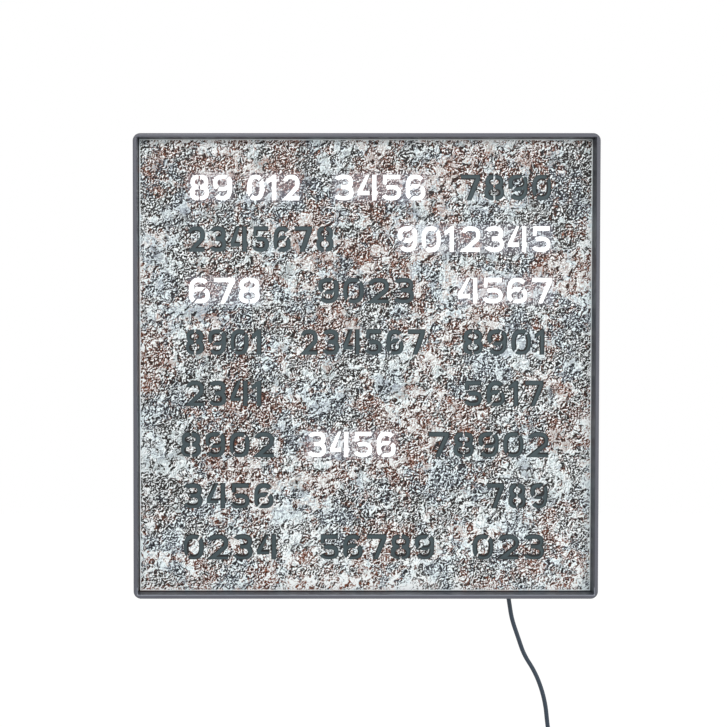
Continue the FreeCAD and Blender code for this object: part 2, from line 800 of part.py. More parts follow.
def make_rear_cover():
    """The moulded back: ribs that hold the light box, keyholes, vents, a trough for the plug."""
    body = new_body("rear_cover")
    panel = Outline(body, "panel_outline", offset=S["cover_back"])
    panel.rounded_rectangle(
        -cover_half_width, cover_half_width, -cover_half_height, cover_half_height,
        S["corner_radius"] - S["frame_wall"] - S["cover_clearance"],
    )
    pad(body, "panel", panel, S["cover_thickness"])
    soften(body, "panel_bevel", "Chamfer", S["cover_bevel"], at_depth(S["cover_back"]))

    ribs = Outline(body, "rib_lines", offset=cover_inside)
    half_rib = S["rib_thickness"] / 2
    reach = box_half_width - S["rib_end_margin"]
    ribbon_left = S["header_place"] - S["ribbon_width"]
    ribbon_right = S["header_place"] + S["ribbon_width"]
    for row in (1, 3, 5):
        level = row_level(row) - S["row_pitch"] / 2
        ribs.rectangle(-reach, ribbon_left, level - half_rib, level + half_rib)
        ribs.rectangle(ribbon_right, reach, level - half_rib, level + half_rib)
    pad(body, "light_box_ribs", ribs, box_rear - cover_inside)

    stiffeners = Outline(body, "stiffener_lines", offset=cover_inside)
    for x in (S["stiffener_inner"], S["stiffener_outer"]):
        for side in (-1, 1):
            stiffeners.rectangle(
                x * side - half_rib, x * side + half_rib,
                box_bottom + S["rib_end_margin"], box_top - S["rib_end_margin"],
            )
    pad(body, "stiffeners", stiffeners, S["stiffener_height"])

    locators = Outline(body, "locator_lines", offset=cover_inside)
    gap = S["locator_clearance"]
    thick = S["rib_thickness"]
    for side in (-1, 1):
        near_x, far_x = (box_half_width + gap) * side, (box_half_width + gap + thick) * side
        left, right = (far_x, near_x) if side < 0 else (near_x, far_x)
        margin = S["locator_end_margin"]
        locators.rectangle(left, right, box_bottom + margin, box_top - margin)
    locators.rectangle(-reach, reach, box_top + gap, box_top + gap + thick)
    pad(body, "light_box_locators", locators, box_rear + S["locator_lap"] - cover_inside)

    half_box = S["keyhole_box_width"] / 2
    wall = S["keyhole_box_wall"]
    shells = Outline(body, "keyhole_box_outlines", offset=cover_inside)
    rooms = Outline(body, "keyhole_rooms", offset=cover_inside)
    entries = Outline(body, "keyhole_entries", offset=S["cover_back"])
    slots = Outline(body, "keyhole_slots", offset=S["cover_back"])
    seats = Outline(body, "keyhole_seats", offset=S["cover_back"])
    half_slot = S["keyhole_slot_width"] / 2
    keyhole_reach = S["hook_spread"] / 2 + half_box
    middle = (seat_level + entry_level) / 2
    low = middle - S["keyhole_box_height"] / 2
    high = middle + S["keyhole_box_height"] / 2
    for side in (-0.5, 0.5):
        x = S["hook_spread"] * side
        shells.rectangle(x - half_box, x + half_box, low, high)
        rooms.rectangle(x - half_box + wall, x + half_box - wall, low + wall, high - wall)
        entries.circle(x, entry_level, S["keyhole_entry_radius"])
        slots.rectangle(x - half_slot, x + half_slot, entry_level, seat_level)
        seats.circle(x, seat_level, half_slot)
    pad(body, "keyhole_boxes", shells, S["keyhole_box_depth"])
    pocket(body, "keyhole_room", rooms, S["keyhole_box_depth"] - wall)
    pocket(body, "keyhole_entry", entries, S["cover_thickness"])
    pocket(body, "keyhole_slot", slots, S["cover_thickness"])
    pocket(body, "keyhole_seat", seats, S["cover_thickness"])
    on_back = at_depth(S["cover_back"])
    soften(
        body, "keyhole_bevels", "Chamfer", S["keyhole_bevel"],
        lambda box: on_back(box) and not reaches(box, keyhole_reach, entry_level + half_box)
        and box.ZMin > low.value,
    )

    trough_wall = S["trough_wall"]
    hull = Outline(body, "trough_hull", offset=cover_inside)
    hull.rectangle(
        S["socket_face"] - trough_wall, S["trough_end"] + trough_wall,
        -cover_half_height, trough_top + trough_wall,
    )
    pad(body, "trough_block", hull, trough_floor + trough_wall - cover_inside)
    room = Outline(body, "trough_room_outline", offset=S["cover_back"])
    room.rounded_rectangle(
        S["socket_face"], S["trough_end"], trough_bottom, trough_top, S["trough_corner"]
    )
    pocket(body, "trough_room", room, trough_floor - S["cover_back"])
    way_out = Outline(body, "trough_exit_outline", offset=S["cover_back"])
    way_out.rectangle(
        exit_left, exit_right, -cover_half_height - CUT_PAST, trough_bottom + S["trough_corner"]
    )
    pocket(body, "trough_exit", way_out, trough_floor - S["cover_back"])
    window = Outline(
        body, "socket_window_outline", plane="YZ_Plane",
        offset=S["socket_face"] - trough_wall - CUT_PAST,
    )
    half_socket = S["socket_width"] / 2 + S["door_clearance"]
    window.rectangle(
        -board_rear, S["socket_height"] - board_rear + S["door_clearance"],
        socket_level - half_socket, socket_level + half_socket,
    )
    pocket(body, "socket_window", window, trough_wall + 2 * CUT_PAST)

    posts = Outline(body, "board_posts", offset=cover_inside)
    pilots = Outline(body, "board_pilots", offset=board_rear - S["board_screw_length"])
    for x, z in board_screw_places():
        posts.circle(x, z, S["board_boss_radius"])
        pilots.circle(x, z, S["board_screw_radius"] + S["pilot_clearance"])
    pad(body, "board_bosses", posts, board_rear - cover_inside)
    pocket(body, "board_boss_pilots", pilots, S["board_screw_length"])

    buttons = Outline(body, "button_hole_outlines", offset=S["cover_back"])
    for x, z in button_places():
        buttons.circle(x, z, S["button_radius"] + S["button_hole_gap"])
    pocket(body, "button_holes", buttons, S["cover_thickness"])

    half_door = S["door_width"] / 2 + S["door_clearance"]
    half_tall = S["door_height"] / 2 + S["door_clearance"]
    rebate = Outline(body, "door_rebate_outline", offset=S["cover_back"])
    rebate.rectangle(
        S["cell_place"] - half_door, S["cell_place"] + half_door,
        board_level - half_tall, board_level + half_tall,
    )
    pocket(body, "door_rebate", rebate, S["door_thickness"])
    bay = Outline(body, "cell_bay_outline", offset=S["cover_back"])
    bay.rectangle(
        S["cell_place"] - half_door + S["door_lip"], S["cell_place"] + half_door - S["door_lip"],
        board_level - half_tall + S["door_lip"], board_level + half_tall - S["door_lip"],
    )
    pocket(body, "cell_bay", bay, S["cover_thickness"])

    vents = Outline(body, "vent_outlines", offset=S["cover_back"])
    half_long = S["vent_length"] / 2
    half_vent = S["vent_width"] / 2
    for side in (-0.5, 0.5):
        for place in range(-VENTS_TO_A_SIDE, VENTS_TO_A_SIDE + 1):
            x = S["vent_spread"] * side + S["vent_pitch"] * place
            vents.rounded_rectangle(
                x - half_vent, x + half_vent,
                S["vent_rise"] - half_long, S["vent_rise"] + half_long, S["vent_corner"],
            )
    pocket(body, "vent_slots", vents, S["cover_thickness"])

    screws = Outline(body, "screw_hole_outlines", offset=S["cover_back"])
    for x, z in rear_screw_places():
        screws.circle(x, z, S["rear_screw_radius"] + S["hole_clearance"])
    pocket(body, "screw_holes", screws, S["cover_thickness"])
    return hang(body)


# The parts on the control board


def make_control_board():
    body = new_body("control_board")
    outline = Outline(body, "board_outline", offset=board_rear)
    half = S["board_height"] / 2
    outline.rectangle(board_left, board_right, board_level - half, board_level + half)
    for x, z in board_screw_places():
        outline.circle(x, z, S["board_screw_radius"] + S["hole_clearance"])
    pad(body, "board", outline, S["board_thickness"])
    return hang(body)


def make_power_socket():
    """The socket: a moulded box with a round mouth in its end and a pin down the middle."""
    length, pin = S["socket_length"].value, S["socket_pin_radius"].value
    bore = (S["plug_barrel_radius"] + S["socket_clearance"]).value
    width, height = S["socket_width"].value, S["socket_height"].value
    mouth = Vector(S["socket_face"].value, -socket_depth.value, socket_level.value)
    corner = mouth - Vector(length, height / 2, width / 2)
    shell = Part.makeBox(length, height, width, corner)
    hollow = Part.makeCylinder(bore, S["socket_bore_depth"].value, mouth, Vector(-1, 0, 0))
    shell = shell.cut(hollow)
    post_length = (S["socket_bore_depth"] - S["socket_pin_setback"]).value
    root = mouth - Vector(S["socket_bore_depth"].value, 0, 0)
    post = Part.makeCylinder(pin, post_length, root, Vector(1, 0, 0))
    return shape_node("power_socket", shell.fuse(post).removeSplitter())


def make_tact_switches():
    """Three square switches on the board, each with a round well for its plunger."""
    top = board_rear - S["switch_height"]
    body = new_body("tact_switches")
    shells = Outline(body, "switch_outlines", offset=top)
    wells = Outline(body, "switch_wells", offset=top)
    half = S["switch_side"] / 2
    for x, z in button_places():
        shells.rectangle(x - half, x + half, z - half, z + half)
        wells.circle(x, z, S["plunger_radius"] + S["plunger_clearance"])
    pad(body, "switch_blocks", shells, S["switch_height"])
    pocket(body, "switch_bores", wells, S["switch_bore_depth"])
    return hang(body)


def make_button(name, place):
    """A push button turned about its own axis: cap, captive flange and a stem to the switch."""
    body = new_body(name + "_button")
    profile = Outline(body, name + "_profile", plane="XY_Plane")
    face = S["cover_back"] - S["button_proud"]
    flange = cover_inside + S["button_flange_gap"]
    flange_end = flange + S["button_flange_thickness"]
    stem_end = board_rear - S["switch_height"] - S["switch_reach"]
    profile.polygon([
        (0.0, -face), (0.0, -stem_end), (S["button_stem_radius"], -stem_end),
        (S["button_stem_radius"], -flange_end), (S["button_flange_radius"], -flange_end),
        (S["button_flange_radius"], -flange), (S["button_radius"], -flange),
        (S["button_radius"], -face),
    ])
    revolve(body, name + "_turn", profile)
    soften(body, name + "_edge", "Fillet", S["button_proud"], at_depth(face))
    return hang(body, x=list(button_places())[place][0], z=board_level)


def make_plunger(name, place):
    """The switch's own plunger, which the button's stem pushes into its well."""
    top = board_rear - S["switch_height"] - S["switch_reach"]
    bar = doc.addObject("Part::Cylinder", name + "_plunger")
    bar.Label = name + "_plunger"
    bind(bar, Radius=S["plunger_radius"], Height=S["switch_reach"] + S["plunger_insert"])
    bar.Placement = FreeCAD.Placement(Vector(0, 0, 0), FreeCAD.Rotation(Vector(1, 0, 0), 90))
    return hang(bar, x=list(button_places())[place][0], depth=top, z=board_level)


def make_cell_holder():
    """The open holder of the backup cell, with a round well as deep as the cell."""
    top = board_rear - S["cell_holder_rise"]
    body = new_body("cell_holder")
    outline = Outline(body, "holder_outline", offset=top)
    well_radius = S["cell_radius"] + S["cell_clearance"]
    half_wide = well_radius + S["cell_holder_ends"]
    half_tall = well_radius + S["cell_holder_wall"]
    outline.rectangle(
        S["cell_place"] - half_wide, S["cell_place"] + half_wide,
        board_level - half_tall, board_level + half_tall,
    )
    pad(body, "holder_block", outline, S["cell_holder_rise"])
    well = Outline(body, "cell_well_outline", offset=top)
    well.circle(S["cell_place"], board_level, well_radius)
    pocket(body, "cell_well", well, S["cell_thickness"] + S["cell_sink"])
    return hang(body)


def make_backup_cell():
    rest = board_rear - S["cell_holder_rise"] + S["cell_thickness"] + S["cell_sink"]
    cell = cylinder(
        S["cell_radius"], rest - S["cell_thickness"], rest, S["cell_place"], board_level
    )
    return shape_node("backup_cell", cell)


def make_cell_door():
    """The lid over the backup cell: a plate in a rebate, with a shallow plug that fills the bay."""
    body = new_body("cell_door")
    plate = Outline(body, "door_outline", offset=S["cover_back"])
    half_wide, half_tall = S["door_width"] / 2, S["door_height"] / 2
    x, z = S["cell_place"], board_level
    plate.rounded_rectangle(
        x - half_wide, x + half_wide, z - half_tall, z + half_tall, S["door_corner"]
    )
    pad(body, "door_plate", plate, S["door_thickness"])
    lip = S["door_lip"]
    plug = Outline(body, "door_plug_outline", offset=S["cover_back"] + S["door_thickness"])
    plug.rectangle(
        x - half_wide + lip, x + half_wide - lip, z - half_tall + lip, z + half_tall - lip
    )
    pad(body, "door_plug", plug, S["cover_thickness"] - S["door_thickness"] + S["door_plug_depth"])
    finger = Outline(body, "finger_grip_outline", offset=S["cover_back"])
    half_grip = S["door_grip_width"] / 2
    edge = z + half_tall
    finger.rectangle(x - half_grip, x + half_grip, edge - S["door_grip_height"], edge + CUT_PAST)
    pocket(body, "finger_grip", finger, S["door_grip_depth"])
    return hang(body)


def make_board_parts():
    """Header, chip, crystal and capacitor, all soldered on the board's rear face."""
    block(
        "ribbon_header", S["header_width"], S["header_height"], strip_rear, board_rear,
        S["header_place"], board_level,
    )
    for kind, corner in (("chip", None), ("crystal", S["crystal_corner"])):
        label = {"chip": "controller_chip", "crystal": "clock_crystal"}[kind]
        body = new_body(label)
        outline = Outline(body, kind + "_outline", offset=board_rear - S[kind + "_rise"])
        x, half_wide, half_tall = S[kind + "_place"], S[kind + "_width"] / 2, S[kind + "_height"] / 2
        edges = (x - half_wide, x + half_wide, board_level - half_tall, board_level + half_tall)
        if corner is None:
            outline.rectangle(*edges)
        else:
            outline.rounded_rectangle(*edges, corner)
        pad(body, kind + "_case", outline, S[kind + "_rise"])
        if corner is None:
            top = at_depth(board_rear - S["chip_rise"])
            soften(body, "chip_top_bevel", "Chamfer", S["chip_bevel"], top)
        hang(body)


def make_capacitor():
    """A can turned about its own axis, with a rounded end and the crimp above its rubber plug."""
    body = new_body("capacitor")
    profile = Outline(body, "can_profile", plane="XY_Plane")
    radius, top, edge = S["capacitor_radius"], S["capacitor_height"], S["capacitor_edge"]
    crimp, dent = S["capacitor_crimp_rise"], S["capacitor_crimp_depth"]
    profile.polygon([
        (0.0, 0.0), (radius, 0.0), (radius, crimp - dent), (radius - dent, crimp),
        (radius, crimp + dent), (radius, top - edge), (radius - edge, top), (0.0, top),
    ])
    revolve(body, "can_turn", profile)
    return hang(body, x=S["capacitor_place"], depth=board_rear, z=board_level)


def make_ribbon_cable():
    """The flat cable that lies across the strips' backs and ends on the board's header."""
    top = row_level(0) + S["strip_height"] / 2
    bottom = board_level - S["header_height"] / 2
    middle = (top + bottom) / 2
    return block(
        "ribbon_cable", S["ribbon_width"], top - bottom, strip_rear - S["ribbon_thickness"],
        strip_rear, S["header_place"], middle,
    )


# Fasteners and bumpers


def make_screws(label, head, places):
    """Identical pan-head screws. `head` gives the depth under the head and its direction."""
    seat, towards = head
    kind = label.rsplit("_", 1)[0]
    head_radius, head_height, radius, length = (
        S[f"{kind}_screw_{name}"].value
        for name in ("head_radius", "head_height", "radius", "length")
    )
    solids = []
    for x, z in places:
        under = Vector(x.value, -seat.value, z.value)
        cap = Part.makeCylinder(head_radius, head_height, under, Vector(0, -towards, 0))
        shank = Part.makeCylinder(radius, length, under, Vector(0, towards, 0))
        solids.append(cap.fuse(shank))
    return shape_node(label, Part.makeCompound(solids))


def make_bumpers():
    """Four rubber cones with a flat face, which keep the clock's back off the wall."""
    cones = []
    for x, z in bumper_places():
        foot = Vector(x.value, -S["cover_back"].value, z.value)
        cones.append(
            Part.makeCone(
                S["bumper_radius"].value, S["bumper_face_radius"].value,
                S["cover_back"].value, foot, Vector(0, 1, 0),
            )
        )
    return shape_node("wall_bumpers", Part.makeCompound(cones))


# The plug, the cord, its coil and the adapter


def make_plug():
    """The moulded plug with grip rings and a tapered strain relief, turned about the cord."""
    body = new_body("power_plug")
    profile = Outline(body, "plug_profile", plane="XY_Plane")
    radius, length = S["plug_radius"], S["plug_length"]
    cord = S["cord_diameter"] / 2
    tail = length + S["relief_length"]
    slope, floor = S["plug_groove_slope"], S["plug_groove_floor"]
    outline = [(0.0, 0.0), (radius - S["plug_bevel"], 0.0), (radius, S["plug_bevel"])]
    for groove in reversed(range(PLUG_GROOVES)):
        start = length - S["plug_shoulder"] - S["plug_groove_pitch"] * (groove + 1)
        low = radius - S["plug_groove_depth"]
        outline += [
            (radius, start), (low, start + slope), (low, start + slope + floor),
            (radius, start + slope * 2 + floor),
        ]
    outline += [
        (radius, length - S["plug_shoulder"]), (cord + S["relief_root_wall"], length),
        (cord + S["relief_tip_wall"], tail), (0.0, tail),
    ]
    profile.polygon(outline)
    revolve(body, "plug_turn", profile)
    body.Placement = FreeCAD.Placement(Vector(0, 0, 0), FreeCAD.Rotation(Vector(0, 0, 1), -90))
    return hang(body, x=S["socket_face"] + S["plug_gap"], depth=socket_depth, z=socket_level)


def make_plug_barrel():
    """The plug's metal sleeve, round the socket's pin."""
    start = Vector(
        (S["socket_face"] + S["plug_gap"]).value, -socket_depth.value, socket_level.value
    )
    length = S["plug_barrel_length"].value
    sleeve = Part.makeCylinder(S["plug_barrel_radius"].value, length, start, Vector(-1, 0, 0))
    bore = (S["socket_pin_radius"] + S["plug_barrel_clearance"]).value
    hole = Part.makeCylinder(bore, length, start, Vector(-1, 0, 0))
    return shape_node("plug_barrel", sleeve.cut(hole))


def direction(a, b):
    return (b - a).normalize()


def tube_edges(points):
    """Straight runs joined by tangent arcs, each as large as its two runs allow."""
    edges, radii = [], []
    last = points[0]
    for before, corner, after in zip(points, points[1:], points[2:]):
        way_in, way_out = direction(before, corner), direction(corner, after)
        half_turn = way_in.getAngle(way_out) / 2
        reach = RUN_SHARE * min((corner - before).Length, (after - corner).Length)
        radius = reach / math.tan(half_turn)
        inwards = (way_out - way_in).normalize()
        start, end = corner - way_in * reach, corner + way_out * reach
        middle = corner + inwards * (radius / math.cos(half_turn) - radius)
        edges.append(Part.LineSegment(last, start).toShape())
        edges.append(Part.Arc(start, middle, end).toShape())
        radii.append(radius)
        last = end
    edges.append(Part.LineSegment(last, points[-1]).toShape())
    return edges, radii


def sweep_round(edges, start, way, diameter):
    """A round tube along joined edges, and how far its volume is from section times length."""
    section = Part.Wire([Part.Circle(start, way, diameter / 2).toShape()])
    path = Part.Wire(edges)
    tube = path.makePipeShell([section], True, False)
    wanted = math.pi * diameter**2 / 4 * path.Length
    return tube, path.Length, tube.Volume / wanted - 1


def make_tube(label, points):
    diameter = S["cord_diameter"].value
    edges, radii = tube_edges(points)
    tube, length, error = sweep_round(edges, points[0], direction(points[0], points[1]), diameter)
    print(f"{label}: length {length:.1f}, volume off by {error:.5f}")
    print(f"{label}: radii " + " ".join(f"{radius:.0f}" for radius in radii))
    shape_node(label, tube)
    return length


def coil_point(turned):
    """The coil's centre line after an angle turned: spirals in and out, a layer at a time.

    The radius falls by one pitch a turn in one layer and rises again in the next. In the half
    turn round each reversal the radius follows a parabola, and the cord climbs one layer.
    """
    pitch = S["coil_pitch"].value
    layer_angle = S["coil_turns_in_layer"].value * 2 * math.pi
    outer = S["coil_outer_radius"].value
    sweep_in = pitch * S["coil_turns_in_layer"].value
    reversal = min(LAYERS - 1, max(1, round(turned / layer_angle)))
    past = turned - reversal * layer_angle
    away = abs(past)
    if away < EASE:
        away = (away**2 / EASE + EASE) / 2
        climb = (math.sin(past * math.pi / 2 / EASE) + 1) / 2
    else:
        climb = 1.0 if past > 0 else 0.0
    drift = pitch * away / (2 * math.pi)
    radius = outer - sweep_in + drift if reversal % 2 else outer - drift
    depth = S["coil_depth"].value + pitch * (reversal - 1 + climb)
    angle = math.radians(S["coil_start_angle"].value) - turned
    return Vector(
        S["coil_x"].value + radius * math.cos(angle),
        -depth,
        -S["coil_drop"].value + radius * math.sin(angle),
    )


def coil_stops():
    """Where the coil's arcs meet: about half a turn apart, and a quarter at each reversal."""
    layer_angle = S["coil_turns_in_layer"].value * 2 * math.pi
    ends = [0.0]
    for reversal in range(1, LAYERS):
        middle = reversal * layer_angle
        ends += [middle - EASE, middle, middle + EASE]
    ends.append(LAYERS * layer_angle)
    stops = [0.0]
    for low, high in zip(ends, ends[1:]):
        steps = max(1, round((high - low) / math.pi))
        stops += [low + (high - low) * step / steps for step in range(1, steps + 1)]
    return stops


def coil_way(turned):
    step = 1e-4
    return direction(coil_point(turned - step), coil_point(turned + step))


def biarc(start, way_in, end, way_out):
    """Two tangent arcs from one point and direction to another."""
    across = end - start
    both = way_in + way_out
    a = 2 * (1 - way_in.dot(way_out))
    b = 2 * across.dot(both)
    c = -across.dot(across)
    reach = -c / b if abs(a) < 1e-9 else (-b + math.sqrt(b * b - 4 * a * c)) / (2 * a)
    joint = (start + way_in * reach + end - way_out * reach) / 2
    edges = []
    for point, way, other in ((start, way_in, joint), (joint, None, end)):
        way = way or direction(start + way_in * reach, end - way_out * reach)
        chord = other - point
        normal = (chord - way * chord.dot(way)).normalize()
        radius = chord.dot(chord) / (2 * chord.dot(normal))
        centre = point + normal * radius
        middle = centre + direction(centre, (point + other) / 2) * radius
        edges.append(Part.Arc(point, middle, other).toShape())
    return edges


def least_gap(points, diameter):
    """The least gap between stretches of the coil that lie about half a turn apart or more."""
    half_turns = 2 * LAYERS * S["coil_turns_in_layer"].value
    apart = int(len(points) / half_turns)
    least = min(
        (a - b).Length
        for i, a in enumerate(points)
        for b in points[i + apart:]
    )
    return least - diameter


def make_coil():
    """The unseen length as one unbroken tube, with a straight diameter at each end."""
    diameter = S["cord_diameter"].value
    stops = coil_stops()
    places = [coil_point(stop) for stop in stops]
    ways = [coil_way(stop) for stop in stops]
    start, end = places[0] - ways[0] * diameter, places[-1] + ways[-1] * diameter
    edges = [Part.LineSegment(start, places[0]).toShape()]
    for step in range(len(stops) - 1):
        edges += biarc(places[step], ways[step], places[step + 1], ways[step + 1])
    edges.append(Part.LineSegment(places[-1], end).toShape())
    coil, length, error = sweep_round(edges, start, ways[0], diameter)
    samples = [point for edge in edges for point in edge.discretize(SAMPLES_IN_ARC)[1:]]
    gap = least_gap(samples, diameter)
    print(f"cord_coil: length {length:.1f}, volume off by {error:.5f}, least gap {gap:.2f}")
    shape_node("cord_coil", coil)
    return (start, ways[0]), (end, ways[-1]), length


def make_tie():
    """A soft band round the whole bundle of turns, across it at one place on the ring."""
    pitch, cord = S["coil_pitch"], S["cord_diameter"] / 2
    gap = cord + S["tie_clearance"]
    inner = S["coil_outer_radius"] - pitch * SIZES["coil_turns_in_layer"] - gap
    outer = S["coil_outer_radius"] + gap
    near_wall = S["coil_depth"] - gap
    far = S["coil_depth"] + pitch * (LAYERS - 1) + gap
    thick = S["tie_thickness"]
    body = new_body("coil_tie")
    band = Outline(body, "band_outline", plane="XY_Plane", offset=-S["tie_width"] / 2)
    band.rounded_rectangle(
        inner - thick, outer + thick, -far - thick, thick - near_wall, S["tie_corner"] + thick
    )
    pad(body, "band_block", band, S["tie_width"])
    bundle = Outline(body, "bundle_outline", plane="XY_Plane", offset=-S["tie_width"] / 2)
    bundle.rounded_rectangle(inner, outer, -far, -near_wall, S["tie_corner"])
    pocket(body, "bundle_room", bundle, S["tie_width"])
    body.Placement = FreeCAD.Placement(
        Vector(0, 0, 0), FreeCAD.Rotation(Vector(0, 1, 0), -SIZES["tie_angle"])
    )
    return hang(body, x=S["coil_x"], z=-S["coil_drop"])


def pin_places(level):
    """The two mains pins, either side of the adapter's middle."""
    for side in (-0.5, 0.5):
        yield TAIL_X + S["pin_spread"].value * side, level - S["adapter_height"] / 2 + S["pin_rise"]


def make_adapter(level, middle):
    """The adapter's two shells, which taper away from the seam between them."""
    half_wide = S["adapter_width"] / 2
    half_deep = S["adapter_depth"] / 2
    for label, side in (("adapter_back", -1), ("adapter_front", 1)):
        body = new_body(label)
        outline = Outline(body, label + "_outline", offset=middle)
        outline.rounded_rectangle(
            -half_wide, half_wide, -S["adapter_height"], 0.0, S["adapter_corner"]
        )
        shell = pad(body, label + "_shell", outline, half_deep)
        shell.Reversed = side < 0
        bind(shell, TaperAngle=-S["adapter_draft"])
        soften(body, label + "_seam", "Chamfer", S["adapter_seam"], at_depth(middle))
        outside = middle + half_deep * side
        soften(body, label + "_round", "Fillet", S["adapter_round"], at_depth(outside))
        if side > 0:
            bores = Outline(body, "sleeve_bores", offset=outside - S["sleeve_root"])
            for x, z in pin_places(as_size(0.0)):
                radius = S["sleeve_radius"] + S["pin_clearance"]
                bores.circle(x - TAIL_X, z, radius)
            pocket(body, "sleeve_holes", bores, S["sleeve_root"])
        hang(body, x=TAIL_X, z=level)


def make_adapter_pins(level, front):
    """Two mains pins, each with a bare round tip, and the sleeves round their thinner cores."""
    root = front - S["sleeve_root"]
    tip_start = front + S["sleeve_length"]
    tip_end = tip_start + S["pin_length"]
    at_tip = at_depth(tip_end)
    pins, sleeves = [], []
    for x, z in pin_places(level):
        tip = cylinder(S["pin_radius"], tip_start, tip_end, x, z)
        rim = [edge for edge in tip.Edges if at_tip(edge.BoundBox)]
        tip = tip.makeFillet(S["pin_round"].value, rim)
        pins.append(tip.fuse(cylinder(S["pin_core_radius"], root, tip_start, x, z)))
        bore = cylinder(S["pin_core_radius"] + S["pin_clearance"], root, tip_start, x, z)
        sleeves.append(cylinder(S["sleeve_radius"], root, tip_start, x, z).cut(bore))
    shape_node("adapter_pins", Part.makeCompound(pins))
    shape_node("pin_sleeves", Part.makeCompound(sleeves))


def make_adapter_relief(top, depth):
    """The adapter's tapered strain relief, round the cord's end."""
    body = new_body("adapter_relief")
    profile = Outline(body, "relief_profile", plane="XZ_Plane")
    radius, length = S["adapter_relief_radius"], S["adapter_relief_length"]
    pitch, slope = S["adapter_ring_pitch"], S["adapter_ring_slope"]
    cord = S["cord_diameter"] / 2
    rings = [(0.0, 0.0), (0.0, -length), (radius, -length)]
    for ring in range(RELIEF_RINGS):
        low = pitch * (ring + 1) - length
        wide = radius - S["adapter_ring_taper"] * (ring + 1)
        narrow = wide - S["adapter_ring_depth"]
        floor_end = low + slope + S["adapter_ring_floor"]
        rings += [(wide, low), (narrow, low + slope), (narrow, floor_end), (wide, floor_end + slope)]
    rings.append((cord + S["relief_tip_wall"], 0.0))
    profile.polygon(rings)
    revolve(body, "relief_turn", profile)
    return hang(body, x=TAIL_X, depth=depth, z=top)


def check_and_export():
    """Refuses any failed object or broken shape, then writes one file for each piece."""
    doc.recompute()
    for obj in doc.Objects:
        if {"Invalid", "Error"} & set(obj.State):
            raise RuntimeError(f"{obj.Label} failed: {obj.State}")
    pieces = [
        obj for obj in doc.Objects
        if obj.TypeId in ("PartDesign::Body", "Part::Feature", "Part::Box", "Part::Cylinder")
    ]
    os.makedirs("parts", exist_ok=True)
    for piece in pieces:
        if piece.Shape.isNull() or not piece.Shape.isValid():
            raise RuntimeError(f"{piece.Label} has no valid shape")
        piece.Shape.exportStep(os.path.join("parts", piece.Label + ".step"))
    print(f"{len(pieces)} pieces")


make_bezel_frame()
make_sheet("face_plate", face_rear, face_front)
make_sheet("diffuser", diffuser_rear, face_rear)
make_light_box()
for number in range(len(ROWS)):
    make_lamp_strip(number)
    make_leds(number)
make_rear_cover()
make_control_board()
make_power_socket()
make_tact_switches()
for number, button in enumerate(("hour", "minute", "brightness")):
    make_button(button, number)
    make_plunger(button, number)
make_cell_holder()
make_backup_cell()
make_cell_door()
make_board_parts()
make_capacitor()
make_ribbon_cable()
make_screws("rear_screws", (S["cover_back"], -1), rear_screw_places())
make_screws("strip_screws", (strip_rear, -1), strip_screw_places())
make_screws("board_screws", (board_front, 1), board_screw_places())
make_bumpers()
make_plug()
make_plug_barrel()

(coil_start, coil_in), (coil_end, coil_out), coil_length = make_coil()
upper_route = [Vector(x, -depth, z) for x, depth, z in CORD_ROUTE]
upper_route += [coil_start - coil_in * LEAD_RUN, coil_start]
tail_route = [coil_end, coil_end + coil_out * TAIL_RUN]
for run, slant in TAIL_SLANTS:
    lean = math.radians(slant)
    tail_route.append(tail_route[-1] + Vector(-math.sin(lean), 0, -math.cos(lean)) * run)
total = make_tube("cord_upper", upper_route) + make_tube("cord_tail", tail_route)
print(f"cord: {total + coil_length:.0f} in all")
TAIL_X = tail_route[-1].x
tail_depth, tail_level = as_size(-tail_route[-1].y), as_size(tail_route[-1].z)
adapter_level = tail_level - S["adapter_relief_length"]
make_tie()
make_adapter(adapter_level, tail_depth)
make_adapter_pins(adapter_level, tail_depth + S["adapter_depth"] / 2)
make_adapter_relief(tail_level, tail_depth)
check_and_export()
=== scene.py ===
"""The wall clock's looks: its stone-print face with cut digits, its frame, back, cord and adapter.

Everything is in metres in the model's own frame: +Z up, the wall is the plane y = 0 and the
clock faces -Y. The origin lies midway between the hanging screws, 137 mm above the centre.
"""

import math

import bpy
import numpy as np
from mathutils import Matrix, Vector


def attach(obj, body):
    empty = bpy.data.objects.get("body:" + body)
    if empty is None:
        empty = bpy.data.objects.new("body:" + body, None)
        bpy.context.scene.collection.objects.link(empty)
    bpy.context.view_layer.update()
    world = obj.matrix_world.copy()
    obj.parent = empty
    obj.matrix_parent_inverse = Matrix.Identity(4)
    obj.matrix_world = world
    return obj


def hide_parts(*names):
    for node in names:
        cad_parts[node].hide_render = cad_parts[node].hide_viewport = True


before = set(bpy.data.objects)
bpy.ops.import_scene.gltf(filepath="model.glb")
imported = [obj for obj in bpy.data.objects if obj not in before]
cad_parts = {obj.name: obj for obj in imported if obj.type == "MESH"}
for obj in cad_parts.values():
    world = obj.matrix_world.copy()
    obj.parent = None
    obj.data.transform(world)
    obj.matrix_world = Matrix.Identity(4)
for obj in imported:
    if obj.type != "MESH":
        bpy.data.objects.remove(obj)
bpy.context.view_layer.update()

MM = 0.001
CENTRE_Z = -0.137

# The face plate: half its width and its corners, and the depths of its front and back, and of
# the mask's, in millimetres before the wall

FACE_HALF = 197.2
FACE_CORNER = 3.7
PLATE_FRONT = 22.0
PLATE_BACK = 20.86
MASK_FRONT = 20.85
MASK_BACK = 20.81

# The frame in metres: how far out its walls round the face reach, within which they get painted
# shade, where the painted highlight on the front edge begins and ends across, the depth it lies
# before, and how far below the centre the lowest wall is

WALL_EDGE = 0.1966
HIGHLIGHT_START = 0.1964
HIGHLIGHT_END = 0.1973
FRONT_FACE = -0.0312
LOW_WALL = 0.19

# The cord's radius in metres, and its route and coil in millimetres from the clock's centre:
# across, out from the wall and up. Angles are in degrees, apart from the small turn's.

